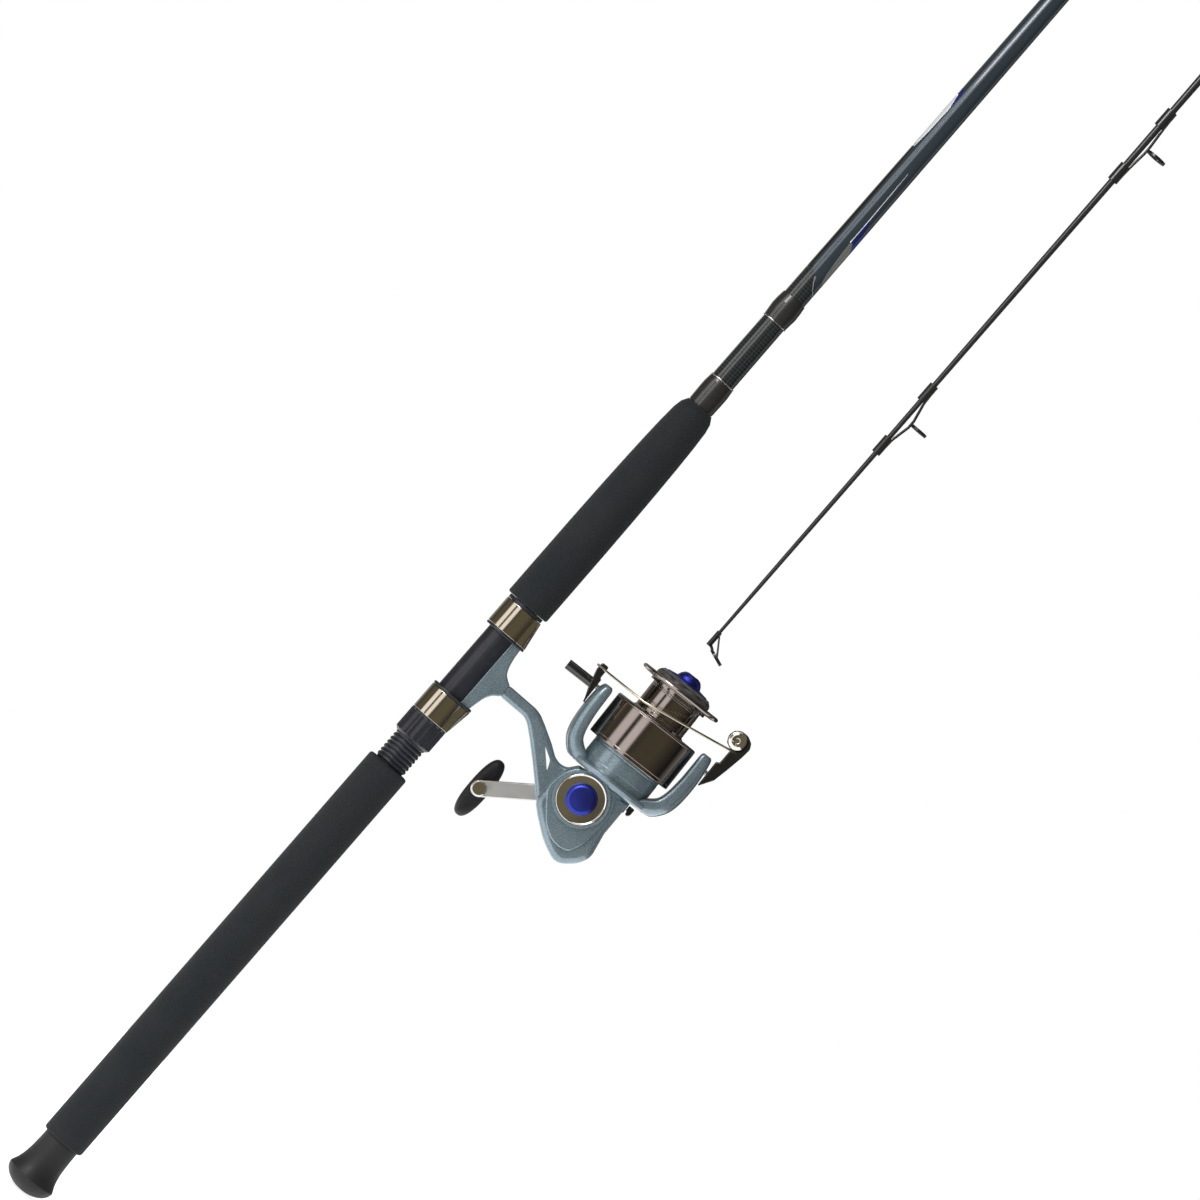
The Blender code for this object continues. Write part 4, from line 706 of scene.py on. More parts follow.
def flute(obj, count, depth, inner, low, high):
    """Presses evenly spaced flutes into a turned piece beyond radius inner, between two heights."""
    for vertex in obj.data.vertices:
        radius = math.hypot(vertex.co.x, vertex.co.y)
        if radius > inner and low <= vertex.co.z <= high:
            angle = math.atan2(vertex.co.y, vertex.co.x)
            scale = 1 - depth * (1 - math.cos(count * angle)) / 2 / radius
            vertex.co.x *= scale
            vertex.co.y *= scale


def arc(centre, radius, start, end, steps):
    """Points on a circle, with its angles in degrees."""
    angles = [math.radians(start + (end - start) * i / steps) for i in range(steps + 1)]
    return [(centre[0] + radius * math.cos(a), centre[1] + radius * math.sin(a)) for a in angles]


def inset(outline, distance):
    """The outline moved inwards by distance, with its corners kept sharp."""
    points = [Vector(p) for p in outline]
    area = sum(a.cross(b) for a, b in zip(points, points[1:] + points[:1]))
    side = distance if area > 0 else -distance
    result = []
    for i, point in enumerate(points):
        before = (point - points[i - 1]).normalized()
        after = (points[(i + 1) % len(points)] - point).normalized()
        normal = Vector((-before.y - after.y, before.x + after.x)).normalized()
        result.append(point + normal * side / normal.dot(Vector((-after.y, after.x))))
    return [(p.x, p.y) for p in result]


# Butt section of the rod

REAR_GRIP_BOTTOM = BUTT_CAP_LENGTH + GAP
SEAT_BOTTOM = REAR_GRIP_BOTTOM + REAR_GRIP_LENGTH + GAP
SEAT_TOP = SEAT_BOTTOM + SEAT_LENGTH
NUT_BOTTOM = SEAT_BOTTOM + NUT_START
SLIDING_HOOD_BOTTOM = NUT_BOTTOM + NUT_LENGTH + GAP
SLIDING_RIM_BOTTOM = SLIDING_HOOD_BOTTOM + HOOD_LENGTH
FOOT_WINDOW_LOW = SLIDING_RIM_BOTTOM + HOOD_RIM + GAP
FIXED_HOOD_TOP = SEAT_TOP - SEAT_FLANGE_LENGTH - GAP
FIXED_RIM_TOP = FIXED_HOOD_TOP - HOOD_LENGTH
FOOT_WINDOW_HIGH = FIXED_RIM_TOP - HOOD_RIM
FOREGRIP_BOTTOM = SEAT_TOP + GAP
FOREGRIP_TOP = FOREGRIP_BOTTOM + FOREGRIP_LENGTH
FORE_WRAP_BOTTOM = FOREGRIP_TOP + GAP
LOWER_TRIM_BOTTOM = FORE_WRAP_BOTTOM + FORE_WRAP_LENGTH + GAP
UPPER_TRIM_BOTTOM = LOWER_TRIM_BOTTOM + WEAVE_LENGTH
UPPER_WRAP_BOTTOM = UPPER_TRIM_BOTTOM + TRIM_WIDTH + GAP
BLANK_BORE = BLANK_RADIUS + GAP
FOOT_INSERTION = 0.0105
FOOT_BOTTOM = FOOT_WINDOW_LOW - FOOT_INSERTION
FOOT_TOP = FOOT_WINDOW_HIGH + FOOT_INSERTION
FOOT_END_REACH = 0.0152
FOOT_MID_REACH = 0.0176


def blank_radius(height):
    """Outer radius of the butt section's blank at a height."""
    share = max(0, (height - BLANK_TAPER_START) / (BLANK_TOP - BLANK_TAPER_START))
    return BLANK_RADIUS + (BLANK_TOP_RADIUS - BLANK_RADIUS) * share


def make_butt_cap():
    start = math.asin(BUTT_FACE_RADIUS / BUTT_CAP_RADIUS)
    dome = []
    for i in range(9):
        angle = start + (math.pi / 2 - start) * (1 - i / 8)
        height = BUTT_DOME_HEIGHT * (1 - math.cos(angle) / math.cos(start))
        dome.append((BUTT_CAP_RADIUS * math.sin(angle), height))
    waist = []
    flare_length = 0.0095
    for i in range(8):
        height = BUTT_CAP_LENGTH - (BUTT_CAP_LENGTH - BUTT_DOME_HEIGHT - 0.001) * i / 8
        flare = math.exp(-(height - BUTT_DOME_HEIGHT) / flare_length)
        waist.append((BUTT_CAP_NECK + (BUTT_CAP_RADIUS - BUTT_CAP_NECK) * flare, height))
    bore = [(0, BUTT_CAP_FLOOR), (BLANK_BORE, BUTT_CAP_FLOOR), (BLANK_BORE, BUTT_CAP_LENGTH)]
    turned("butt_cap", "black_rubber", bore + waist + dome + [(0, 0)])


def make_blank():
    low = BUTT_CAP_FLOOR + GAP
    outer = [(BLANK_TOP_RADIUS, BLANK_TOP), (BLANK_RADIUS, BLANK_TAPER_START), (BLANK_RADIUS, low)]
    inner = [(radius - BLANK_WALL, height) for radius, height in reversed(outer)]
    turned("butt_blank", "carbon_blank", outer + inner)
    spigot_low = BLANK_TOP + SPIGOT_REACH - SPIGOT_LENGTH
    spigot_high = BLANK_TOP + SPIGOT_REACH
    nose = 0.001
    profile = [(0, spigot_high), (SPIGOT_RADIUS - nose, spigot_high), (SPIGOT_RADIUS, spigot_high - nose)]
    turned("spigot", "carbon_blank", profile + [(SPIGOT_RADIUS, spigot_low), (0, spigot_low)])


def make_grips():
    low, high = REAR_GRIP_BOTTOM, REAR_GRIP_BOTTOM + REAR_GRIP_LENGTH
    round_off = GRIP_END_ROUND
    outer = arc((GRIP_RADIUS - round_off, high - round_off), round_off, 90, 0, 3)
    outer += arc((GRIP_RADIUS - round_off, low + round_off), round_off, 0, -90, 3)
    turned("rear_grip", "grip_foam", outer + [(BLANK_BORE, low), (BLANK_BORE, high)])

    low, high = FOREGRIP_BOTTOM, FOREGRIP_TOP
    nose, shoulder = 0.0112, 0.0143
    profile = [(nose, high), (shoulder, high - 0.0052)]
    for i in range(1, 7):
        share = (i / 7) ** 1.6
        swell = math.sin(math.pi / 2 * (i / 7)) ** 0.75
        height = high - 0.0052 - (FOREGRIP_LENGTH - 0.04) * share
        profile.append((shoulder + (FOREGRIP_RADIUS - shoulder) * swell, height))
    profile += [(FOREGRIP_RADIUS, low + 0.03), (FOREGRIP_RADIUS, low + 0.001)]
    profile += [(FOREGRIP_RADIUS - 0.001, low), (BLANK_BORE, low), (BLANK_BORE, high)]
    turned("foregrip", "grip_foam", profile)


def make_seat():
    flange_low = SEAT_TOP - SEAT_FLANGE_LENGTH
    profile = [(SEAT_FLANGE_RADIUS, SEAT_TOP), (SEAT_FLANGE_RADIUS, flange_low), (SEAT_RADIUS, flange_low)]
    thread_top = SEAT_BOTTOM + (THREAD_TURNS + 0.25) * THREAD_PITCH
    profile.append((SEAT_RADIUS, thread_top))
    for i in range(THREAD_TURNS):
        height = thread_top - i * THREAD_PITCH
        profile.append((THREAD_RADIUS, height - 0.3 * THREAD_PITCH))
        profile.append((THREAD_RADIUS, height - 0.7 * THREAD_PITCH))
        profile.append((SEAT_RADIUS, height - THREAD_PITCH))
    profile += [(SEAT_RADIUS, SEAT_BOTTOM), (BLANK_BORE, SEAT_BOTTOM), (BLANK_BORE, SEAT_TOP)]
    turned("seat_barrel", "black_plastic", profile, steps=16)


def make_nut(parent):
    chamfer = 0.0022
    bore = THREAD_RADIUS + GAP
    profile = [(NUT_RADIUS, NUT_LENGTH), (NUT_RADIUS, NUT_LENGTH - 0.0015), (NUT_RADIUS, chamfer)]
    profile += [(NUT_RADIUS - chamfer, 0), (bore, 0), (bore, NUT_LENGTH)]
    nut = turned("seat_nut", "black_plastic", profile, parent, steps=4 * NUT_FLUTES)
    flute(nut, NUT_FLUTES, 0.0008, NUT_RADIUS - 0.0002, 0.0018, NUT_LENGTH - 0.001)


def hood_section(reach, height, shrink=0.0):
    """A hood's outline at a height: round, and drawn out to reach over the foot."""
    points = []
    count = HOOD_STEPS * FINENESS
    for i in range(count):
        angle = 2 * math.pi * (i + 0.5) / count
        radius = HOOD_RADIUS
        if math.cos(angle) > 0:
            bluntness = (math.cos(angle) / reach) ** 6 + abs(math.sin(angle) / (HOOD_WIDTH / 2)) ** 6
            radius = max(HOOD_RADIUS, bluntness ** (-1 / 6))
        radius -= shrink
        points.append((radius * math.cos(angle), radius * math.sin(angle), height))
    return points


def make_hood(name, finish, low, high, reach_low, reach_high):
    """One hood, or its rim: a collar on the seat that is drawn out over one end of the foot."""
    sections = []
    for share, shrink in ((0, 1), (0.3, 0.3), (1, 0)):
        sections.append(hood_section(reach_low, low + share * HOOD_EDGE, shrink * HOOD_EDGE))
    for share, shrink in ((1, 0), (0.3, 0.3), (0, 1)):
        sections.append(hood_section(reach_high, high - share * HOOD_EDGE, shrink * HOOD_EDGE))
    shell = loft(name, finish, sections)
    edge, middle = FOOT_END_REACH + GAP, FOOT_MID_REACH + GAP
    pocket = [(0.002, FOOT_BOTTOM - GAP), (edge, FOOT_BOTTOM - GAP), (middle, FOOT_WINDOW_LOW)]
    pocket += [(middle, FOOT_WINDOW_HIGH), (edge, FOOT_TOP + GAP), (0.002, FOOT_TOP + GAP)]
    drill(shell, name + "_bore", THREAD_RADIUS + GAP, low - 0.01, high + 0.01, steps=24)
    cut(shell, flat(name + "_pocket", None, pocket, FOOT_WIDTH + 2 * GAP))


def make_trim():
    ends = blank_radius(FORE_WRAP_BOTTOM) + 0.0010
    profile = [(ends - 0.0004, FORE_WRAP_BOTTOM + FORE_WRAP_LENGTH)]
    profile += [(FORE_WRAP_RADIUS, FORE_WRAP_BOTTOM + FORE_WRAP_LENGTH * share) for share in (0.72, 0.45)]
    profile += [(ends, FORE_WRAP_BOTTOM), (BLANK_BORE, FORE_WRAP_BOTTOM)]
    turned("fore_wrap", "black_gloss", profile + [(BLANK_BORE, FORE_WRAP_BOTTOM + FORE_WRAP_LENGTH)])
    for name, low in (("lower_trim_ring", LOWER_TRIM_BOTTOM), ("upper_trim_ring", UPPER_TRIM_BOTTOM)):
        bore = blank_radius(low) + GAP
        turned(name, "silver_trim", ring_profile(bore + 0.0006, bore, low, low + TRIM_WIDTH), steps=24)
    bore = blank_radius(UPPER_WRAP_BOTTOM) + GAP
    top = UPPER_WRAP_BOTTOM + UPPER_WRAP_LENGTH
    profile = [(bore + 0.0003, top), (bore + 0.0010, top - 0.006), (bore + 0.0013, top - 0.012)]
    profile += [(bore + 0.0003, UPPER_WRAP_BOTTOM), (bore, UPPER_WRAP_BOTTOM), (bore, top)]
    turned("upper_wrap", "black_gloss", profile)


# Tip section of the rod

TIP_TAPER = ((0.0, 0.0012), (0.062, 0.0016), (0.227, 0.00205), (0.535, 0.0028), (0.85, 0.0047))
TIP_TAPER += ((1.1, 0.0063), (1.24, 0.0068))


def tip_radius(distance):
    """Radius of the tip section's blank at a distance from its tip."""
    for (start, low), (end, high) in zip(TIP_TAPER, TIP_TAPER[1:]):
        if distance <= end:
            return low + (high - low) * (distance - start) / (end - start)
    return TIP_TAPER[-1][1]


def make_tip_blank(tip):
    end = TIP_BLANK_START + TIP_BLANK_LENGTH
    places = [end] + [d for d, _ in reversed(TIP_TAPER) if TIP_BLANK_START < d < end] + [TIP_BLANK_START]
    profile = [(0, end)] + [(tip_radius(d), d) for d in places] + [(0, TIP_BLANK_START)]
    turned("tip_blank", "slate_blank", profile, tip, steps=SMALL_STEPS)
    low = end - FERRULE_GRIP
    high = low + FERRULE_LENGTH
    grip_bore = tip_radius(end) + GAP
    socket = SPIGOT_RADIUS + GAP
    outer = grip_bore + FERRULE_WALL - 0.0006
    profile = [(outer + 0.0006, high), (outer + 0.0006, high - 0.012), (outer, high - 0.016), (outer, low)]
    profile += [(grip_bore, low), (grip_bore, end + GAP), (socket, end + GAP), (socket, high)]
    turned("ferrule_sleeve", "slate_blank", profile, tip, steps=24)


def make_guide(index, tip):
    """A double-footed guide: a ring over the blank, two struts, and bindings that hold its feet."""
    distance, radius = GUIDE_PLACES[index], GUIDE_RADII[index]
    height, span = GUIDE_HEIGHTS[index], GUIDE_FOOT_SPANS[index]
    name = f"guide_{index + 1}"
    ring_bore = radius - GUIDE_RING_WALL
    half = GUIDE_RING_WIDTH / 2
    at = (height, 0, distance)
    profile = ring_profile(radius, ring_bore, -half, half)
    body = turned(name + "_frame", "black_lacquer", profile, tip, at, (0, 0, FACET_TURN), steps=20)
    head = height - radius - 0.0004
    bar = []
    for side in (-1, 1):
        foot = tip_radius(distance + side * span) + BINDING_WALL * 0.4
        reach = [(foot, span + 0.001), (foot + 0.0004, span - BINDING_LENGTH * 0.5), (head, span * 0.12)]
        leg = [(x, 0, distance + side * z) for x, z in reach]
        bar += leg if side < 0 else reversed(leg)
    join(body, tube(name + "_bar", None, bar, 0.0011, tip))
    for side, label in ((-1, "low"), (1, "high")):
        low = distance + side * span - BINDING_LENGTH / 2
        bore = tip_radius(low + BINDING_LENGTH) + GAP
        sizes = (bore + BINDING_WALL, low, low + BINDING_LENGTH)
        turn = (0, 0, FACET_TURN)
        stud(body, f"{name}_{label}_binding", *sizes, tip, turn=turn, steps=SMALL_STEPS)
    for side, label in ((-1, "low"), (1, "high")):
        low = distance + side * span - BINDING_LENGTH / 2
        high = low + BINDING_LENGTH
        bore = tip_radius(high) + GAP
        drill(body, f"{name}_{label}_bore", bore, low - 0.004, high + 0.004, tip, steps=SMALL_STEPS)
    insert = ring_bore - GAP
    profile = ring_profile(insert, insert - GUIDE_INSERT_WALL, -half * 0.8, half * 0.8)
    turned(name + "_ring", "ceramic", profile, tip, at, (0, 0, FACET_TURN), steps=20)


def make_tip_top(tip):
    bore = tip_radius(TIP_TOP_LENGTH) + GAP
    profile = [(0, TIP_TOP_LENGTH), (TIP_TOP_RADIUS, TIP_TOP_LENGTH), (TIP_TOP_RADIUS, 0), (0, 0)]
    body = turned("tip_top_frame", "black_lacquer", profile, tip, steps=SMALL_STEPS)
    centre = (TIP_RING_HEIGHT, 0, -TIP_RING_DROP)
    lean = (0, TIP_RING_LEAN, 0)
    ring_bore = TIP_RING_RADIUS - GUIDE_RING_WALL
    half = GUIDE_RING_WIDTH / 2
    profile = ring_profile(TIP_RING_RADIUS, ring_bore, -half, half)
    ring = turned("tip_top_loop", None, profile, tip, centre, lean, steps=18)
    foot = TIP_TOP_RADIUS * 0.6
    for side in (-1, 1):
        start = (foot, side * foot, TIP_TOP_LENGTH - 0.002)
        end = (TIP_RING_HEIGHT + 0.001, side * (TIP_RING_RADIUS - 0.0003), -TIP_RING_DROP - 0.0003)
        join(body, tube(f"tip_top_strut_{side + 1}", None, [start, end], 0.0007, tip))
    throat = [(foot, 0, 0.0015), (TIP_RING_HEIGHT - TIP_RING_RADIUS + 0.0012, 0, -0.0008)]
    join(body, tube("tip_top_neck", None, throat, 0.0012, tip), ring)
    drill(body, "tip_top_bore", bore, 0.0022, 0.02, tip, steps=SMALL_STEPS)
    insert = ring_bore - GAP
    profile = ring_profile(insert, insert - GUIDE_INSERT_WALL, -half * 0.8, half * 0.8)
    turned("tip_top_ring", "ceramic", profile, tip, centre, lean, steps=18)


# Reel body: outlines in the plane of the rod and the reel, as (X, Z)

HOUSING = [(0.1084, 0.5143), (0.1018, 0.5069), (0.0995, 0.4920), (0.0989, 0.4738), (0.1090, 0.4652)]
HOUSING += [(0.1249, 0.4536), (0.1421, 0.4471), (0.1544, 0.4579), (0.1592, 0.4677), (0.1551, 0.4882)]
HOUSING += [(0.1546, 0.5162)]
STEM_REAR = [(0.0268, 0.5144), (0.0520, 0.5147), (0.0570, 0.5126), (0.0657, 0.5055), (0.0787, 0.4940)]
STEM_REAR += [(0.0910, 0.4824), (0.1030, 0.4705)]
STEM_FRONT = [(0.1082, 0.5150), (0.1018, 0.5069), (0.0960, 0.5055), (0.0902, 0.5069), (0.0816, 0.5127)]
STEM_FRONT += [(0.0686, 0.5199), (0.0614, 0.5235), (0.0557, 0.5250), (0.0268, 0.5250)]
STEM_WINDOW = [(0.0785, 0.5086), (0.0885, 0.5030), (0.0922, 0.4948)]
PANEL = [(0.1000, 0.4860), (0.1080, 0.4755), (0.1170, 0.4650), (0.1275, 0.4590), (0.1361, 0.4583)]
PANEL += [(0.1436, 0.4605), (0.1493, 0.4740), (0.1504, 0.4995), (0.1451, 0.5150), (0.1091, 0.5142)]
PANEL += [(0.1032, 0.5060), (0.1004, 0.4960)]


def foot_outline():
    """The foot with its flared root: flat under the hoods and swelling into the stem."""
    rear = [(0.0093, FOOT_BOTTOM), (FOOT_END_REACH, FOOT_BOTTOM), (FOOT_MID_REACH, FOOT_WINDOW_LOW)]
    rear += [(0.0188, 0.498), (0.0206, 0.5055), (0.0244, 0.5115), (0.0293, 0.5144)]
    front = [(0.0293, 0.5250), (0.0263, 0.5265), (0.0221, 0.5295), (0.0195, 0.5355), (0.0182, 0.5430)]
    front += [(FOOT_MID_REACH, FOOT_WINDOW_HIGH), (FOOT_END_REACH, FOOT_TOP), (0.0093, FOOT_TOP)]
    return rear + front


def housing(name, finish, near, far, rounding, reel):
    """The gear housing's outer form between two planes across Y, with the round collar at its front."""
    outline = eased(HOUSING, 0.009, steps=8, keep=(0, len(HOUSING) - 1))
    form = flat(name, finish, outline, far - near, at=(0, (near + far) / 2, 0), rounding=rounding)
    stud(form, name + "_collar", COLLAR_RADIUS, -0.009, -ROTOR_GAP, reel)
    return form


def make_body(reel, gears):
    body = housing("reel_body", "slate_paint", -BODY_RIGHT - 0.02, BODY_RIGHT, BODY_ROUNDING, reel)
    left_half = block("body_parting", (0.2, 0.1, 0.2), at=(0.14, PARTING - 0.05, 0.49))
    joint = [(0.1120, 0.4750), (0.1120, 0.5120)]
    stem_outline = eased(STEM_REAR + joint + STEM_FRONT, 0.008, steps=6)
    stem = flat("body_stem", None, stem_outline, STEM_WIDTH, rounding=0.0035)
    foot = flat("body_foot", None, eased(foot_outline(), 0.005, steps=5), FOOT_WIDTH, rounding=0.0012)
    boss = turned("body_boss", None, rod_profile(BOSS_RADIUS, BODY_RIGHT - 0.004, BOSS_END), gears)
    depth = 0.08
    inside = BODY_RIGHT - BODY_WALL
    cavity = flat("body_cavity", None, inset(HOUSING, BODY_WALL), depth, at=(0, inside - depth / 2, 0))
    seat_low = inside - BEARING_WIDTH + 0.0008
    cut(body, left_half)
    join(body, stem, foot, boss)
    cut(body, cavity)
    stud(body, "body_bearing_seat", BEARING_RADIUS + 0.0025, seat_low, BODY_RIGHT - 0.001, gears)
    seat_high = seat_low + BEARING_WIDTH + 2 * GAP
    drill(body, "body_bearing_bore", BEARING_RADIUS + GAP, seat_low - 0.01, seat_high, gears)
    drill(body, "body_shaft_bore", GEAR_SHAFT_RADIUS + 0.0005, seat_low, BOSS_END + 0.01, gears)
    drill(body, "body_pinion_bore", PINION_BEARING_RADIUS + GAP, -0.02, 0.01, reel)
    drill(body, "body_seat_clearance", SEAT_RADIUS + GAP, 0.4, 0.6)
    cut(body, flat("body_window", None, eased(STEM_WINDOW, 0.002), 0.04))


def make_side_cover(reel, gears):
    """The cover on the side away from the handle, with its raised panel and the bright dish's ring."""
    cover = housing("side_cover", "slate_paint", COVER_LEFT, -COVER_LEFT + 0.02, COVER_ROUNDING, reel)
    cut(cover, block("cover_parting", (0.2, 0.1, 0.2), at=(0.14, PARTING - GAP + 0.05, 0.49)))
    inner, outer = COVER_LEFT + BODY_WALL, COVER_LEFT - PANEL_RAISE
    depth = 0.08
    cut(cover, flat("cover_cavity", None, inset(HOUSING, BODY_WALL), depth, at=(0, inner + depth / 2, 0)))
    drill(cover, "cover_pinion_bore", PINION_BEARING_RADIUS + GAP, -0.02, 0.01, reel)
    panel_depth = PANEL_RAISE + BODY_WALL / 2
    at = (0, outer + panel_depth / 2, 0)
    panel_outline = eased(PANEL, 0.006, steps=6)
    panel = flat("cover_panel", None, panel_outline, panel_depth, at=at, rounding=0.0012)
    ring = [(0, outer + 0.001), (DISH_RING_RADIUS, outer + 0.001)]
    ring += [(DISH_RING_RADIUS - 0.0006, outer - 0.0022), (0, outer - 0.0022)]
    join(cover, panel, turned("cover_ring", None, ring, gears))
    stud(cover, "cover_bearing_seat", BEARING_RADIUS + 0.0025, inner - 0.001, inner + BEARING_WIDTH, gears)
    drill(cover, "cover_bearing_socket", BEARING_RADIUS + GAP, inner + 0.0001, inner + 0.01, gears)
    drill(cover, "cover_dish_seat", DISH_RADIUS + GAP, outer - 0.01, outer + 0.0001, gears)
    drill(cover, "cover_shaft_bore", GEAR_SHAFT_RADIUS + 0.0007, outer - 0.01, inner + 0.01, gears)
    cut(cover, block("cover_rotor_side", (0.08, 0.04, 0.02), reel, (0, outer, 0.01 - ROTOR_GAP / 2)))
    face = outer - GAP
    rim = face - 0.0030
    bore = GEAR_SHAFT_RADIUS + 0.0007
    dish = [(DISH_RADIUS, face), (DISH_RADIUS, rim + 0.0004), (DISH_RADIUS - 0.0006, rim)]
    dish += [(DISH_RADIUS - 0.0014, rim + 0.0004), (DISH_HOLLOW_RADIUS, face - 0.0019)]
    dish += [(bore, face - 0.0014), (bore, face)]
    turned("side_dish", "chrome", dish, gears)
    return face


# Handle shaft, on the handle axis (the gears' frame, whose local Z is +Y)


def make_handle_shaft(gears, left_face):
    cap_low, cap_high = left_face - 0.0092, left_face - 0.0036
    shank_low = left_face - 0.0060
    collar_low, collar_high = BOSS_END + 0.0006, HANDLE_ARM_START - GAP
    arm_end = HANDLE_ARM_START + HANDLE_ARM_THICKNESS
    profile = [(0, arm_end + 0.0025), (0.0042, arm_end + 0.0025), (0.0050, arm_end + 0.0018)]
    profile += [(0.0050, arm_end + GAP), (SHANK_RADIUS, arm_end + GAP), (SHANK_RADIUS, collar_high)]
    profile += [(SHANK_COLLAR_RADIUS, collar_high), (SHANK_COLLAR_RADIUS, collar_low)]
    profile += [(SHANK_RADIUS, collar_low), (SHANK_RADIUS, shank_low), (0, shank_low)]
    turned("handle_shank", "satin_silver", profile, gears)
    inner = SHANK_RADIUS + GAP
    profile = [(0, shank_low - GAP), (inner, shank_low - GAP), (inner, cap_high)]
    profile += [(CAP_RADIUS - 0.0008, cap_high), (CAP_RADIUS, cap_high - 0.001)]
    profile += [(CAP_RADIUS, cap_low + 0.0022), (CAP_RADIUS - 0.0008, cap_low + 0.0010)]
    profile += [(CAP_RADIUS - 0.0022, cap_low + 0.0004), (CAP_RADIUS * 0.45, cap_low + 0.0001), (0, cap_low)]
    turned("handle_cap", "blue_anodised", profile, gears)


# Rotor and bail, in the reel's frame


def through(points, steps=8):
    """A smooth curve through points, with steps points from each to the next."""
    places = [Vector(point) for point in points]
    result = []
    for i in range(len(places) - 1):
        before, start, end, after = (places[min(max(k, 0), len(places) - 1)] for k in range(i - 1, i + 3))
        for k in range(steps):
            t = k / steps
            bend = (2 * before - 5 * start + 4 * end - after) * t**2
            point = start + ((end - before) * t + bend + (3 * start - before - 3 * end + after) * t**3) / 2
            result.append(point)
    return result + [places[-1]]


def rotor_arm(name, side, front, reel):
    """One arm: rounded sections swept up the bell between its outer and inner lines."""
    outside = ROTOR_ARM_RADIUS
    half = ROTOR_ARM_WIDTH / 2
    outer = [(0.0352, 0.0003), (outside - 0.0130, 0.0012), (outside - 0.0078, 0.0058)]
    outer += [(outside - 0.0032, 0.0130), (outside - 0.0008, 0.023), (outside, 0.037)]
    outer += [(outside - 0.0006, 0.050), (outside - 0.0022, front - 0.0025), (outside - 0.0040, front)]
    inner = [(0.0290, 0.0070), (0.0310, 0.0105), (0.0345, 0.0134), (0.0375, 0.0172), (0.0396, 0.0250)]
    inner += [(0.0408, 0.038), (0.0410, 0.050), (0.0412, front - 0.0025), (0.0425, front)]
    narrowing = (-0.004, -0.003, -0.0018, -0.0008, 0, 0.0012, 0.0022, 0.0036, 0.0062)
    widths = [(half - less, 0) for less in narrowing]
    sections = []
    for far, near, (width, _) in zip(through(outer), through(inner), through(widths)):
        section = []
        for i in range(48):
            angle = 2 * math.pi * i / 48
            across = math.copysign(abs(math.cos(angle)) ** 0.45, math.cos(angle)) * width
            out = 0.5 + 0.5 * math.copysign(abs(math.sin(angle)) ** 0.7, math.sin(angle))
            radius = near.x + (far.x - near.x) * out
            height = near.y + (far.y - near.y) * out
            section.append((side * math.sqrt(radius**2 - across**2), across, height))
        sections.append(section)
    return loft(name, None, sections, reel)


def make_rotor(reel):
    cup_inner = ROTOR_CUP_RADIUS - ROTOR_CUP_WALL
    rim, rim_top = ROTOR_RIM_RADIUS, ROTOR_RIM_LENGTH
    clutch_room = CLUTCH_RADIUS + 0.001
    core = [(ROTOR_CUP_RADIUS, ROTOR_CUP_FRONT)]
    for height in (0.0225, 0.0110):
        core += [(ROTOR_CUP_RADIUS, height + 0.0005), (ROTOR_CUP_RADIUS - 0.0004, height)]
        core.append((ROTOR_CUP_RADIUS, height - 0.0005))
    core.append((ROTOR_CUP_RADIUS, rim_top + 0.001))
    core += [(rim - 0.001, rim_top), (rim, rim_top - 0.0015), (rim - 0.0006, 0.0014), (rim - 0.003, 0)]
    core += [(clutch_room, 0), (clutch_room, ROTOR_FLOOR_LOW), (PINION_RADIUS + GAP, ROTOR_FLOOR_LOW)]
    core += [(PINION_RADIUS + GAP, ROTOR_FLOOR_HIGH), (cup_inner, ROTOR_FLOOR_HIGH)]
    core.append((cup_inner, ROTOR_CUP_FRONT))
    arms = None
    for side, front in zip((-1, 1), ROTOR_ARM_FRONTS):
        arm = rotor_arm(f"rotor_arm_{front}", side, front, reel)
        if arms:
            join(arms, arm)
        arms = arms or place("rotor", arm.data, "slate_paint", reel, (0, 0, 0), (0, 0, 0))
    join(arms, turned("rotor_core", None, core, reel, fillet=0.0004))
    at = (0, 0, BAIL_PIVOT)
    drill(arms, "rotor_pivot_bore", BAIL_SCREW_RADIUS + GAP, -0.07, 0.07, reel, at, ALONG_X, steps=16)


def bail_path():
    """The wire from the small arm's ball, round in front of the spool, to the roller's cover."""
    points = []
    for i in range(129):
        angle = math.radians(4 + 166 * i / 128)
        x = -BAIL_HALF_SPAN * math.cos(angle)
        y = -BAIL_DEPTH * math.sin(angle) ** 0.85
        rise = WIRE_RISE * max(0, x - WIRE_RISE_START)
        points.append((x, y, WIRE_HEIGHT + rise - BAIL_PIVOT))
    return points


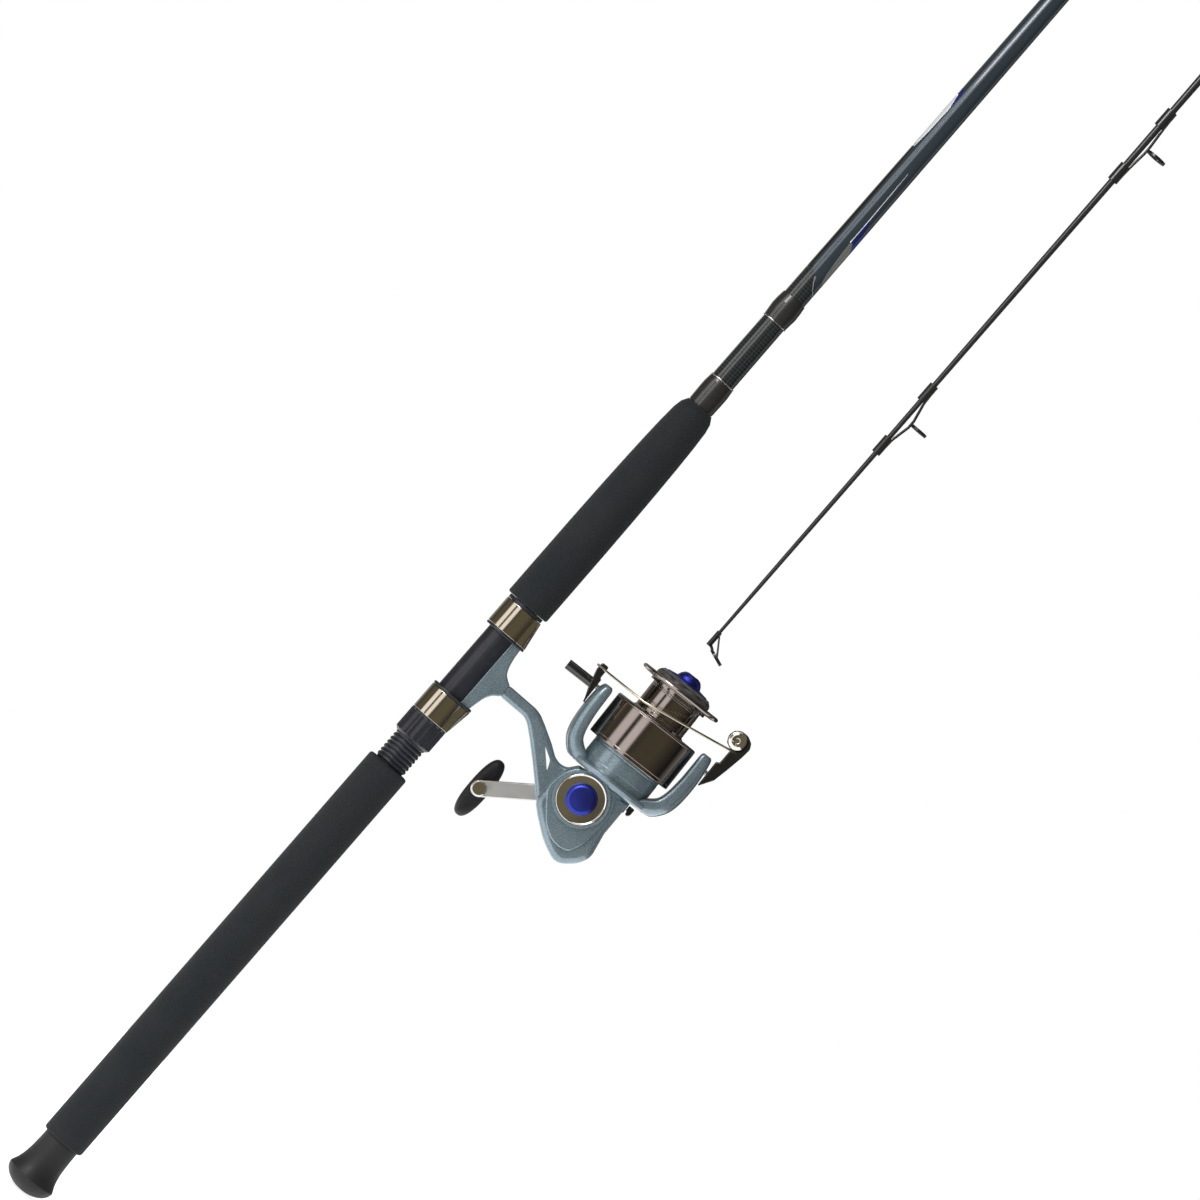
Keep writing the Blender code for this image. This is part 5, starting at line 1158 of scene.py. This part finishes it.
def make_bail(reel, bail):
    inner = ROTOR_ARM_RADIUS + 0.0004
    small = [(-inner, 0.0370), (-0.0568, 0.0479), (-0.0607, 0.0638), (-0.0600, 0.0700)]
    small += [(-0.0540, 0.0700), (-0.0540, 0.0597), (-inner, 0.0590)]
    large = [(inner + 0.0002, 0.0414), (0.0602, 0.0522), (0.0630, 0.0638), (0.0661, 0.0788)]
    large += [(0.0672, 0.0870), (0.0652, 0.0915), (0.0600, 0.0945), (0.0540, 0.0945)]
    large += [(0.0495, 0.0915), (0.0480, 0.0866)]
    large += [(0.0500, 0.0810), (0.0560, 0.0780), (0.0555, 0.0655), (inner + 0.0002, 0.0645)]
    for name, outline, side in (("bail_arm_small", small, -1), ("bail_arm_roller", large, 1)):
        low = [(x, z - BAIL_PIVOT) for x, z in outline]
        low = eased(low, 0.0016, steps=4)[::side]
        arm = flat(name, "black_lacquer", low, BAIL_ARM_WIDTH, bail, rounding=0.0010)
        turn = (0, side * math.pi / 2, 0)
        drill(arm, name + "_bore", BAIL_SCREW_RADIUS + GAP, 0.04, 0.08, bail, turn=turn, steps=16)
        drill(arm, name + "_sink", BAIL_HEAD_RADIUS + GAP, inner + 0.003, 0.08, bail, turn=turn, steps=16)
        if side < 0:
            knob = ball("bail_ball", BAIL_BALL_RADIUS, bail, (-0.0569, 0, 0.0688 - BAIL_PIVOT))
            join(arm, knob)
        else:
            pivot = (bail, (ROLLER_REACH, 0, ROLLER_HEIGHT - BAIL_PIVOT), ACROSS)
            room, end = ROLLER_COVER_RADIUS + 0.0012, ROLLER_WIDTH / 2 + GAP
            drill(arm, "roller_pocket", room, -0.03, end, *pivot, steps=32)
            drill(arm, "roller_eye", ROLLER_PIN_RADIUS + GAP, -0.03, 0.03, *pivot, steps=16)
        screw = [(0, 0.0578), (BAIL_HEAD_RADIUS, 0.0578), (BAIL_HEAD_RADIUS, inner + 0.003 + GAP)]
        screw += [(BAIL_SCREW_RADIUS, inner + 0.003 + GAP), (BAIL_SCREW_RADIUS, 0.0430), (0, 0.0430)]
        turned(name.replace("arm", "screw"), "steel", screw, bail, (0, 0, 0), turn, steps=16)
    tube("bail_wire", "wire", bail_path(), BAIL_WIRE_RADIUS, bail)

    roller = frame_at(bail, (ROLLER_REACH, 0, ROLLER_HEIGHT - BAIL_PIVOT), ACROSS)
    half = ROLLER_WIDTH / 2 - GAP
    bore = ROLLER_PIN_RADIUS + 0.0002
    profile = [(ROLLER_RADIUS, half), (ROLLER_RADIUS - 0.001, 0.001), (ROLLER_RADIUS - 0.001, -0.001)]
    profile += [(ROLLER_RADIUS, -half), (bore, -half), (bore, half)]
    turned("line_roller", "chrome", profile, roller, steps=18)
    face = -ROLLER_WIDTH / 2
    edge = face - ROLLER_COVER_THICKNESS
    pin_end = BAIL_ARM_WIDTH / 2 - 0.0006
    profile = [(0, pin_end), (ROLLER_PIN_RADIUS, pin_end), (ROLLER_PIN_RADIUS, face)]
    profile += [(ROLLER_COVER_RADIUS, face), (ROLLER_COVER_RADIUS, edge + 0.0020)]
    profile += [(ROLLER_COVER_RADIUS - 0.0008, edge + 0.0011), (ROLLER_COVER_RADIUS * 0.6, edge + 0.0003)]
    profile += [(0.0022, edge), (0.0019, edge + 0.0004), (0, edge + 0.0004)]
    turned("roller_cover", "chrome", profile, roller, steps=18)


# Spool and drag, in the reel's frame


def make_spool(reel):
    skirt, lip, arbor = SPOOL_SKIRT_RADIUS, SPOOL_LIP_RADIUS, SPOOL_ARBOR_RADIUS
    shoulder, front = SPOOL_SHOULDER, SPOOL_FRONT
    recess = DRAG_KNOB_RADIUS + 0.0006
    web = shoulder - 0.003
    bore = SHAFT_RADIUS + GAP
    floor = DRAG_KNOB_START - GAP
    profile = [(recess, front - 0.0002), (lip - 0.0016, front), (lip - 0.0004, front - 0.0007)]
    profile += [(lip, front - 0.0017), (lip - 0.0007, front - 0.0030)]
    profile += [(lip - 0.005, front - 0.0038), (arbor, front - 0.0044)]
    for height in (front - 0.0075, front - 0.0090, shoulder + 0.0060, shoulder + 0.0045):
        profile += [(arbor, height + 0.0003), (arbor - 0.0003, height), (arbor, height - 0.0003)]
    profile += [(arbor, shoulder + 0.0016), (arbor + 0.0016, shoulder + 0.0002), (skirt - 0.001, shoulder)]
    profile.append((skirt, shoulder - 0.001))
    for height in (shoulder - 0.0022, SPOOL_BACK + 0.0030):
        profile += [(skirt, height + 0.0003), (skirt - 0.00025, height), (skirt, height - 0.0003)]
    profile += [(skirt, SPOOL_BACK + 0.0006), (skirt - 0.0006, SPOOL_BACK)]
    profile += [(skirt - SPOOL_SKIRT_WALL, SPOOL_BACK), (skirt - SPOOL_SKIRT_WALL, web), (bore, web)]
    profile += [(bore, DRAG_POCKET_FLOOR), (DRAG_POCKET_RADIUS, DRAG_POCKET_FLOOR)]
    profile += [(DRAG_POCKET_RADIUS, floor), (recess, floor)]
    turned("spool", "spool_metal", profile, reel, steps=36, fillet=0.00015)
    top, washers = floor - GAP, 4
    thickness = (top - DRAG_POCKET_FLOOR - GAP) / washers
    radius = DRAG_POCKET_RADIUS - 0.0006
    stack = []
    for i in range(washers):
        height = top - i * thickness
        stack += [(radius, height), (radius, height - 0.7 * thickness)]
        stack += [(radius - 0.0012, height - 0.7 * thickness), (radius - 0.0012, height - thickness)]
    stack += [(bore, top - washers * thickness), (bore, top)]
    turned("drag_washer_stack", "felt", stack, reel, steps=SMALL_STEPS)


def make_drag_knob(reel):
    start, front = DRAG_KNOB_START, DRAG_KNOB_FRONT
    pocket = DRAG_INSERT_RADIUS + GAP
    seat = front - 0.0016
    bore = SHAFT_RADIUS + GAP
    radius = DRAG_KNOB_RADIUS
    profile = [(pocket, front), (pocket + 0.0015, front), (radius - 0.0012, front - 0.0022)]
    profile += [(radius, front - 0.0042), (radius, start + 0.001), (radius - 0.001, start)]
    profile += [(bore, start), (bore, seat), (pocket, seat)]
    knob = turned("drag_knob", "drag_grey", profile, reel, steps=40)
    flute(knob, DRAG_KNOB_NOTCHES, 0.0016, DRAG_KNOB_RADIUS - 0.0014, front - 0.0045, front - 0.002)
    tip = DRAG_INSERT_FRONT
    profile = [(0, tip), (0.0045, tip), (0.0072, tip - 0.001), (0.0093, tip - 0.0034)]
    profile += [(0.0106, tip - 0.0062), (DRAG_INSERT_RADIUS - 0.0006, tip - 0.0074)]
    profile.append((DRAG_INSERT_RADIUS, tip - 0.0084))
    profile += [(DRAG_INSERT_RADIUS, seat + GAP), (0, seat + GAP)]
    turned("drag_knob_insert", "blue_anodised", profile, reel)
    shaft_top = seat - GAP
    turned("main_shaft", "steel", rod_profile(SHAFT_RADIUS, SHAFT_BACK, shaft_top), reel, steps=24)


# Handle and lever


def make_handle(gears):
    hub = Vector((GEAR_AXIS_REACH, GEAR_AXIS_HEIGHT))
    knob = Vector(HANDLE_KNOB_AXIS)
    along = knob - hub
    angle = math.degrees(math.atan2(along.y, along.x))
    radius = HANDLE_ARM_WIDTH / 2
    outline = arc(hub, radius, angle + 90, angle + 270, 32)
    outline += arc(knob, radius, angle - 90, angle + 90, 32)
    thickness = HANDLE_ARM_THICKNESS
    at = (0, HANDLE_ARM_START + thickness / 2, 0)
    arm = flat("handle_arm", "satin_silver", outline, thickness, at=at, rounding=0.0012)
    pivot = frame_at(REST, (knob.x, 0, knob.y), ACROSS)
    low, high = HANDLE_ARM_START - 0.01, HANDLE_ARM_START + thickness + 0.01
    drill(arm, "handle_hub_bore", SHANK_RADIUS + GAP, low, high, gears, steps=20)
    drill(arm, "handle_knob_bore", SPINDLE_RADIUS + GAP, low, high, pivot, steps=20)
    head = HANDLE_ARM_START - GAP
    end = KNOB_START + KNOB_DEPTH - 0.004
    radius = SPINDLE_HEAD_RADIUS
    profile = [(0, end), (SPINDLE_RADIUS, end), (SPINDLE_RADIUS, head), (radius, head)]
    profile += [(radius, head - 0.0012), (radius - 0.0006, head - 0.0016), (0, head - 0.0016)]
    turned("knob_spindle", "chrome", profile, pivot, steps=SMALL_STEPS)

    half_length, half_width = KNOB_LENGTH / 2, KNOB_THICKNESS / 2
    paddle = []
    count = KNOB_STEPS * FINENESS
    for i in range(count):
        turn = 2 * math.pi * i / count
        x, y = math.cos(turn), math.sin(turn)
        across, along = math.copysign(abs(x) ** 0.8, x), math.copysign(abs(y) ** 0.8, y)
        paddle.append((across * half_width, along * half_length))
    grip_start = KNOB_START + 0.003
    grip_depth = KNOB_DEPTH - 0.003
    at = (0, 0, grip_start + grip_depth / 2)
    grip = flat("handle_knob", "black_rubber", paddle, grip_depth, pivot, at, (0, 0, 0), rounding=0.0058)
    stud(grip, "knob_neck", 0.0062, KNOB_START, grip_start + 0.002, pivot, steps=24)
    drill(grip, "knob_bore", SPINDLE_RADIUS + GAP, KNOB_START - 0.01, end + GAP, pivot, steps=20)


def make_lever():
    """The anti-reverse lever under the body: it turns on a post square to the body's underside."""
    base = 0.1560
    post_height = 0.5137
    pivot = frame_at(REST, (0, 0, post_height))
    outline = [(base, -0.0022), (base, 0.0024), (0.1610, 0.0024), (0.1610, -0.0030), (0.1596, -0.0050)]
    outline += [(0.1576, -0.0050), (0.1570, -0.0022)]
    outline = eased(outline, 0.0008)
    flat("anti_reverse_lever", "black_lacquer", outline, 0.006, pivot, rounding=0.0008)


# Applied details, which aren't CAD nodes

DECAL_LIFT = 0.00006

def blank_point(height, angle, lift):
    """A point over the butt blank, at an angle from -Y towards +X."""
    radius = blank_radius(height) + lift
    return Vector((radius * math.sin(angle), -radius * math.cos(angle), height))


def decal(name, finish, rows, body="rod_and_reel_frame", across=16, between=8):
    """A film on the butt blank through rows of (height, low angle, high angle), in degrees."""
    work = bmesh.new()
    grid = []
    for first, second in zip(rows, rows[1:]):
        for k in range(between + (second is rows[-1])):
            share = k / between
            height, low, high = (a + (b - a) * share for a, b in zip(first, second))
            turn = [math.radians(low + (high - low) * i / across) for i in range(across + 1)]
            grid.append([work.verts.new(blank_point(height, angle, DECAL_LIFT)) for angle in turn])
    for first, second in zip(grid, grid[1:]):
        for i in range(across):
            work.faces.new((first[i], first[i + 1], second[i + 1], second[i]))
    bmesh.ops.remove_doubles(work, verts=work.verts, dist=0.00001)
    bmesh.ops.recalc_face_normals(work, faces=work.faces)
    if sum(face.normal.dot(face.calc_center_median() * Vector((1, 1, 0))) for face in work.faces) < 0:
        bmesh.ops.reverse_faces(work, faces=work.faces)
    film = place(name, mesh_of(name, work), finish, REST, (0, 0, 0), (0, 0, 0), body)
    skin = film.modifiers.new("Film", "SOLIDIFY")
    skin.thickness = DECAL_LIFT * 0.8
    skin.offset = -1


def band(name, finish, low, high, **options):
    """A thin painted ring round the blank."""
    profile = [(blank_radius(high) + DECAL_LIFT, high), (blank_radius(low) + DECAL_LIFT, low)]
    profile += [(blank_radius(low) - 0.0001, low), (blank_radius(high) - 0.0001, high)]
    turned(name, finish, profile, body="rod_and_reel_frame", fillet=0.00003, **options)


def make_blank_art():
    band("weave_edge_low", "silver_ink", LOWER_TRIM_BOTTOM - 0.0016, LOWER_TRIM_BOTTOM - 0.0012)
    decal("weave_line", "silver_ink", [(0.9085, -80, -62), (0.9088, -62, -44)])
    spiral = [(0.8915, 84, 90), (0.8945, 60, 66), (0.8975, 36, 42), (0.9020, 14, 20), (0.9065, 2, 8)]
    decal("spiral_line", "silver_ink", spiral)
    swoosh = [(0.9035, 76, 90), (0.9070, 52, 90), (0.9130, 40, 90), (0.9250, 32, 90), (0.9330, 28, 90)]
    swoosh += [(0.9390, 26, 66), (0.9430, 24, 40)]
    decal("swoosh", "grey_ink", swoosh)
    accent = [(0.9345, 78, 90), (0.9400, 52, 90), (0.9450, 34, 76), (0.9550, 30, 52), (0.9640, 27, 36)]
    decal("swoosh_accent", "blue_ink", accent)
    keyline = [(0.9430, 22, 26), (0.9640, 22, 26), (0.9900, 20, 23), (1.0100, 18, 19)]
    decal("keyline", "white_print_and_painted_highlight", keyline)
    # The patch is not print: it is a painted highlight, a white film where the glossy blank shows glare on
    # its far side
    patch = [(1.0290, -84, -56), (1.0440, -86, -46), (1.0680, -86, -42), (1.0800, -84, -62)]
    decal("patch", "white_print_and_painted_highlight", patch)
    decal("patch_edge", "blue_ink", [(1.0700, -46, -40), (1.0815, -62, -40), (1.0860, -84, -56)])
    panel = [(0.9100, -92, -52), (0.9400, -92, -48), (0.9850, -92, -48)]
    panel += [(1.0120, -88, -52), (1.0320, -66, -60)]
    decal("dark_panel", "black_lacquer", panel)
    decal("dark_panel_edge", "blue_ink", [(0.9400, -96, -92), (0.9850, -98, -92), (1.0120, -98, -88)])


# Finishing


def finish_pieces():
    """Applies the modifiers, smooths all but sharp edges, and ties each piece to its body."""
    for obj, node, body, slot in PIECES:
        if obj.modifiers:
            mesh = evaluated_mesh(obj)
            obj.modifiers.clear()
            obj.data = mesh
        obj.data.shade_smooth()
        obj.data.set_sharp_from_angle(angle=CREASE)
        if len(obj.data.polygons) < 20000:
            even = obj.modifiers.new("Even", "WEIGHTED_NORMAL")
            even.keep_sharp = True
    for obj in CUTTERS:
        bpy.data.objects.remove(obj)
    for obj, node, body, slot in PIECES:
        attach(obj, body)
        if node:
            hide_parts(node)


def dress_frame():
    """Gives the CAD solids that stay their finishes."""
    for node, obj in frame["nodes"].items():
        if not obj.hide_render:
            obj.data.materials.clear()
            obj.data.materials.append(LOOKS[SLOT_OF[node]])


# Studio


def make_floor():
    work = bmesh.new()
    bmesh.ops.create_grid(work, x_segments=8, y_segments=8, size=FLOOR_SIZE / 2)
    mesh = mesh_of("studio_floor", work)
    paper = look("studio_paper", (0.93, 0.93, 0.93), 0.85)
    grain = noise(paper, 60, place_on(paper), 3.0)
    feed(paper, "Base Color", blend(paper, grain, (0.92, 0.92, 0.92), (0.95, 0.95, 0.95)))
    shader = paper.node_tree.nodes["Principled BSDF"]
    shader.inputs["Emission Color"].default_value = (1, 1, 1, 1)
    shader.inputs["Emission Strength"].default_value = 0.8
    mesh.materials.append(paper)
    floor = linked("studio_floor", mesh)
    floor.location = (0, 0, -0.0006)


def make_world():
    """White to the camera; to a shiny surface, a studio of pale walls, dark gaps and two bright strips."""
    world = bpy.data.worlds.new("studio")
    bpy.context.scene.world = world
    world.use_nodes = True
    tree = world.node_tree
    tree.nodes.clear()

    def add(kind, **inputs):
        node = tree.nodes.new("ShaderNode" + kind)
        for label, value in inputs.items():
            label = label.replace("_", " ")
            socket = node.inputs[int(label)] if label.isdigit() else node.inputs[label]
            if isinstance(value, bpy.types.NodeSocket):
                tree.links.new(value, socket)
            else:
                socket.default_value = value
        return node

    direction = add("TexCoord").outputs["Generated"]
    axes = add("SeparateXYZ", Vector=direction)
    round_angle = add("Math")
    round_angle.operation = "ARCTAN2"
    tree.links.new(axes.outputs["Y"], round_angle.inputs[0])
    tree.links.new(axes.outputs["X"], round_angle.inputs[1])
    turn = add("MapRange", Value=round_angle.outputs[0], From_Min=-math.pi, From_Max=math.pi)
    ramp = add("ValToRGB", Fac=turn.outputs[0])
    elements = ramp.color_ramp.elements
    while len(elements) < len(STUDIO_BANDS):
        elements.new(0.5)
    for element, (position, colour) in zip(elements, STUDIO_BANDS):
        element.position = position
        element.color = (*colour, 1)
    shown = add("Background", Color=ramp.outputs["Color"], Strength=1.0)
    plain = add("Background", Color=(1, 1, 1, 1), Strength=1.0)
    soft = add("Background", Color=(1, 1, 1, 1), Strength=AMBIENT)
    path = add("LightPath")
    gloss = add("MixShader", Fac=path.outputs["Is Glossy Ray"])
    tree.links.new(soft.outputs[0], gloss.inputs[1])
    tree.links.new(shown.outputs[0], gloss.inputs[2])
    seen = add("MixShader", Fac=path.outputs["Is Camera Ray"])
    tree.links.new(gloss.outputs[0], seen.inputs[1])
    tree.links.new(plain.outputs[0], seen.inputs[2])
    tree.links.new(seen.outputs[0], add("OutputWorld").inputs["Surface"])


def area_light(name, at, target, size, power, mirrored=False):
    lamp = bpy.data.lights.new(name, "AREA")
    lamp.shape = "RECTANGLE"
    lamp.size, lamp.size_y = size
    lamp.energy = power
    obj = linked(name, lamp)
    obj.location = at
    obj.rotation_euler = (Vector(target) - Vector(at)).to_track_quat("-Z", "Y").to_euler()
    obj.visible_glossy = mirrored


def make_studio():
    make_floor()
    make_world()
    centre = (0.03, 0, 0.6)
    area_light("key", (-1.7, -1.9, 2.0), centre, (0.9, 1.4), 34, mirrored=True)
    area_light("fill", (1.9, -1.8, 0.5), centre, (1.0, 1.6), 7)
    area_light("rim", (-0.4, 2.0, 1.6), centre, (1.2, 1.2), 16)
    bpy.context.scene.view_settings.view_transform = "Standard"


def make_camera():
    """Looks along +Y with the rod leaning over to the right by ROLL."""
    lens, sensor = 200.0, 36.0
    camera = bpy.data.cameras.new("camera")
    camera.lens = lens
    camera.sensor_width = sensor
    camera.clip_end = 50
    obj = linked("camera", camera)
    away = Vector((0, -1, 0))
    stand = Vector(VIEW_CENTRE) + away * VIEW_WIDTH * lens / sensor
    turn = (-away).to_track_quat("-Z", "Y").to_matrix().to_4x4()
    obj.matrix_world = Matrix.Translation(stand) @ turn @ Matrix.Rotation(ROLL, 4, "Z")
    bpy.context.scene.camera = obj


FLOOR_SIZE = 3.0
AMBIENT = 0.34
VIEW_CENTRE = (0.038, 0, 0.618)
VIEW_WIDTH = 0.9
ROLL = math.radians(41)
WHITE, PALE, BRASSY = (1.5, 1.42, 1.36), (0.42, 0.40, 0.36), (0.155, 0.135, 0.088)
DUSK, DARK = (0.085, 0.072, 0.055), (0.018, 0.017, 0.018)
STUDIO_BANDS = [(0.0, BRASSY), (0.045, DUSK), (0.06, WHITE), (0.112, WHITE), (0.122, DARK), (0.142, DUSK)]
STUDIO_BANDS += [(0.152, WHITE), (0.196, WHITE), (0.208, DUSK), (0.26, BRASSY), (0.37, BRASSY)]
STUDIO_BANDS += [(0.44, DUSK), (0.50, DARK), (0.56, PALE), (0.62, DUSK), (0.72, DARK), (0.84, PALE)]
STUDIO_BANDS += [(0.90, DUSK), (1.0, BRASSY)]

REEL = frame_at(REST, (REEL_REACH, 0, REEL_HEIGHT), (0, -REEL_TILT, 0))
GEARS = frame_at(REST, (GEAR_AXIS_REACH, 0, GEAR_AXIS_HEIGHT), ACROSS)
BAIL = frame_at(REEL, (0, 0, BAIL_PIVOT))
TIP = frame_at(REST, TIP_OFFSET)
NUT = frame_at(REST, (0, 0, NUT_BOTTOM))

make_butt_cap()
make_blank()
make_grips()
make_seat()
make_nut(NUT)
slide_reaches = (HOOD_NARROW_REACH, HOOD_WIDE_REACH)
make_hood("sliding_hood", "nickel", SLIDING_HOOD_BOTTOM, SLIDING_RIM_BOTTOM - GAP, *slide_reaches)
rim_reaches = (HOOD_WIDE_REACH, HOOD_WIDE_REACH)
rim_top = SLIDING_RIM_BOTTOM + HOOD_RIM
make_hood("sliding_hood_rim", "black_plastic", SLIDING_RIM_BOTTOM, rim_top, *rim_reaches)
make_hood("fixed_hood_rim", "black_plastic", FOOT_WINDOW_HIGH, FIXED_RIM_TOP - GAP, *rim_reaches)
make_hood("fixed_hood", "nickel", FIXED_RIM_TOP, FIXED_HOOD_TOP, HOOD_WIDE_REACH, HOOD_NARROW_REACH)
make_trim()
make_blank_art()

make_tip_blank(TIP)
make_tip_top(TIP)
for guide_index in range(len(GUIDE_PLACES)):
    make_guide(guide_index, TIP)

make_body(REEL, GEARS)
LEFT_FACE = make_side_cover(REEL, GEARS)
make_handle_shaft(GEARS, LEFT_FACE)
make_rotor(REEL)
make_bail(REEL, BAIL)
make_spool(REEL)
make_drag_knob(REEL)
make_handle(GEARS)
make_lever()

finish_pieces()
dress_frame()
make_studio()
make_camera()
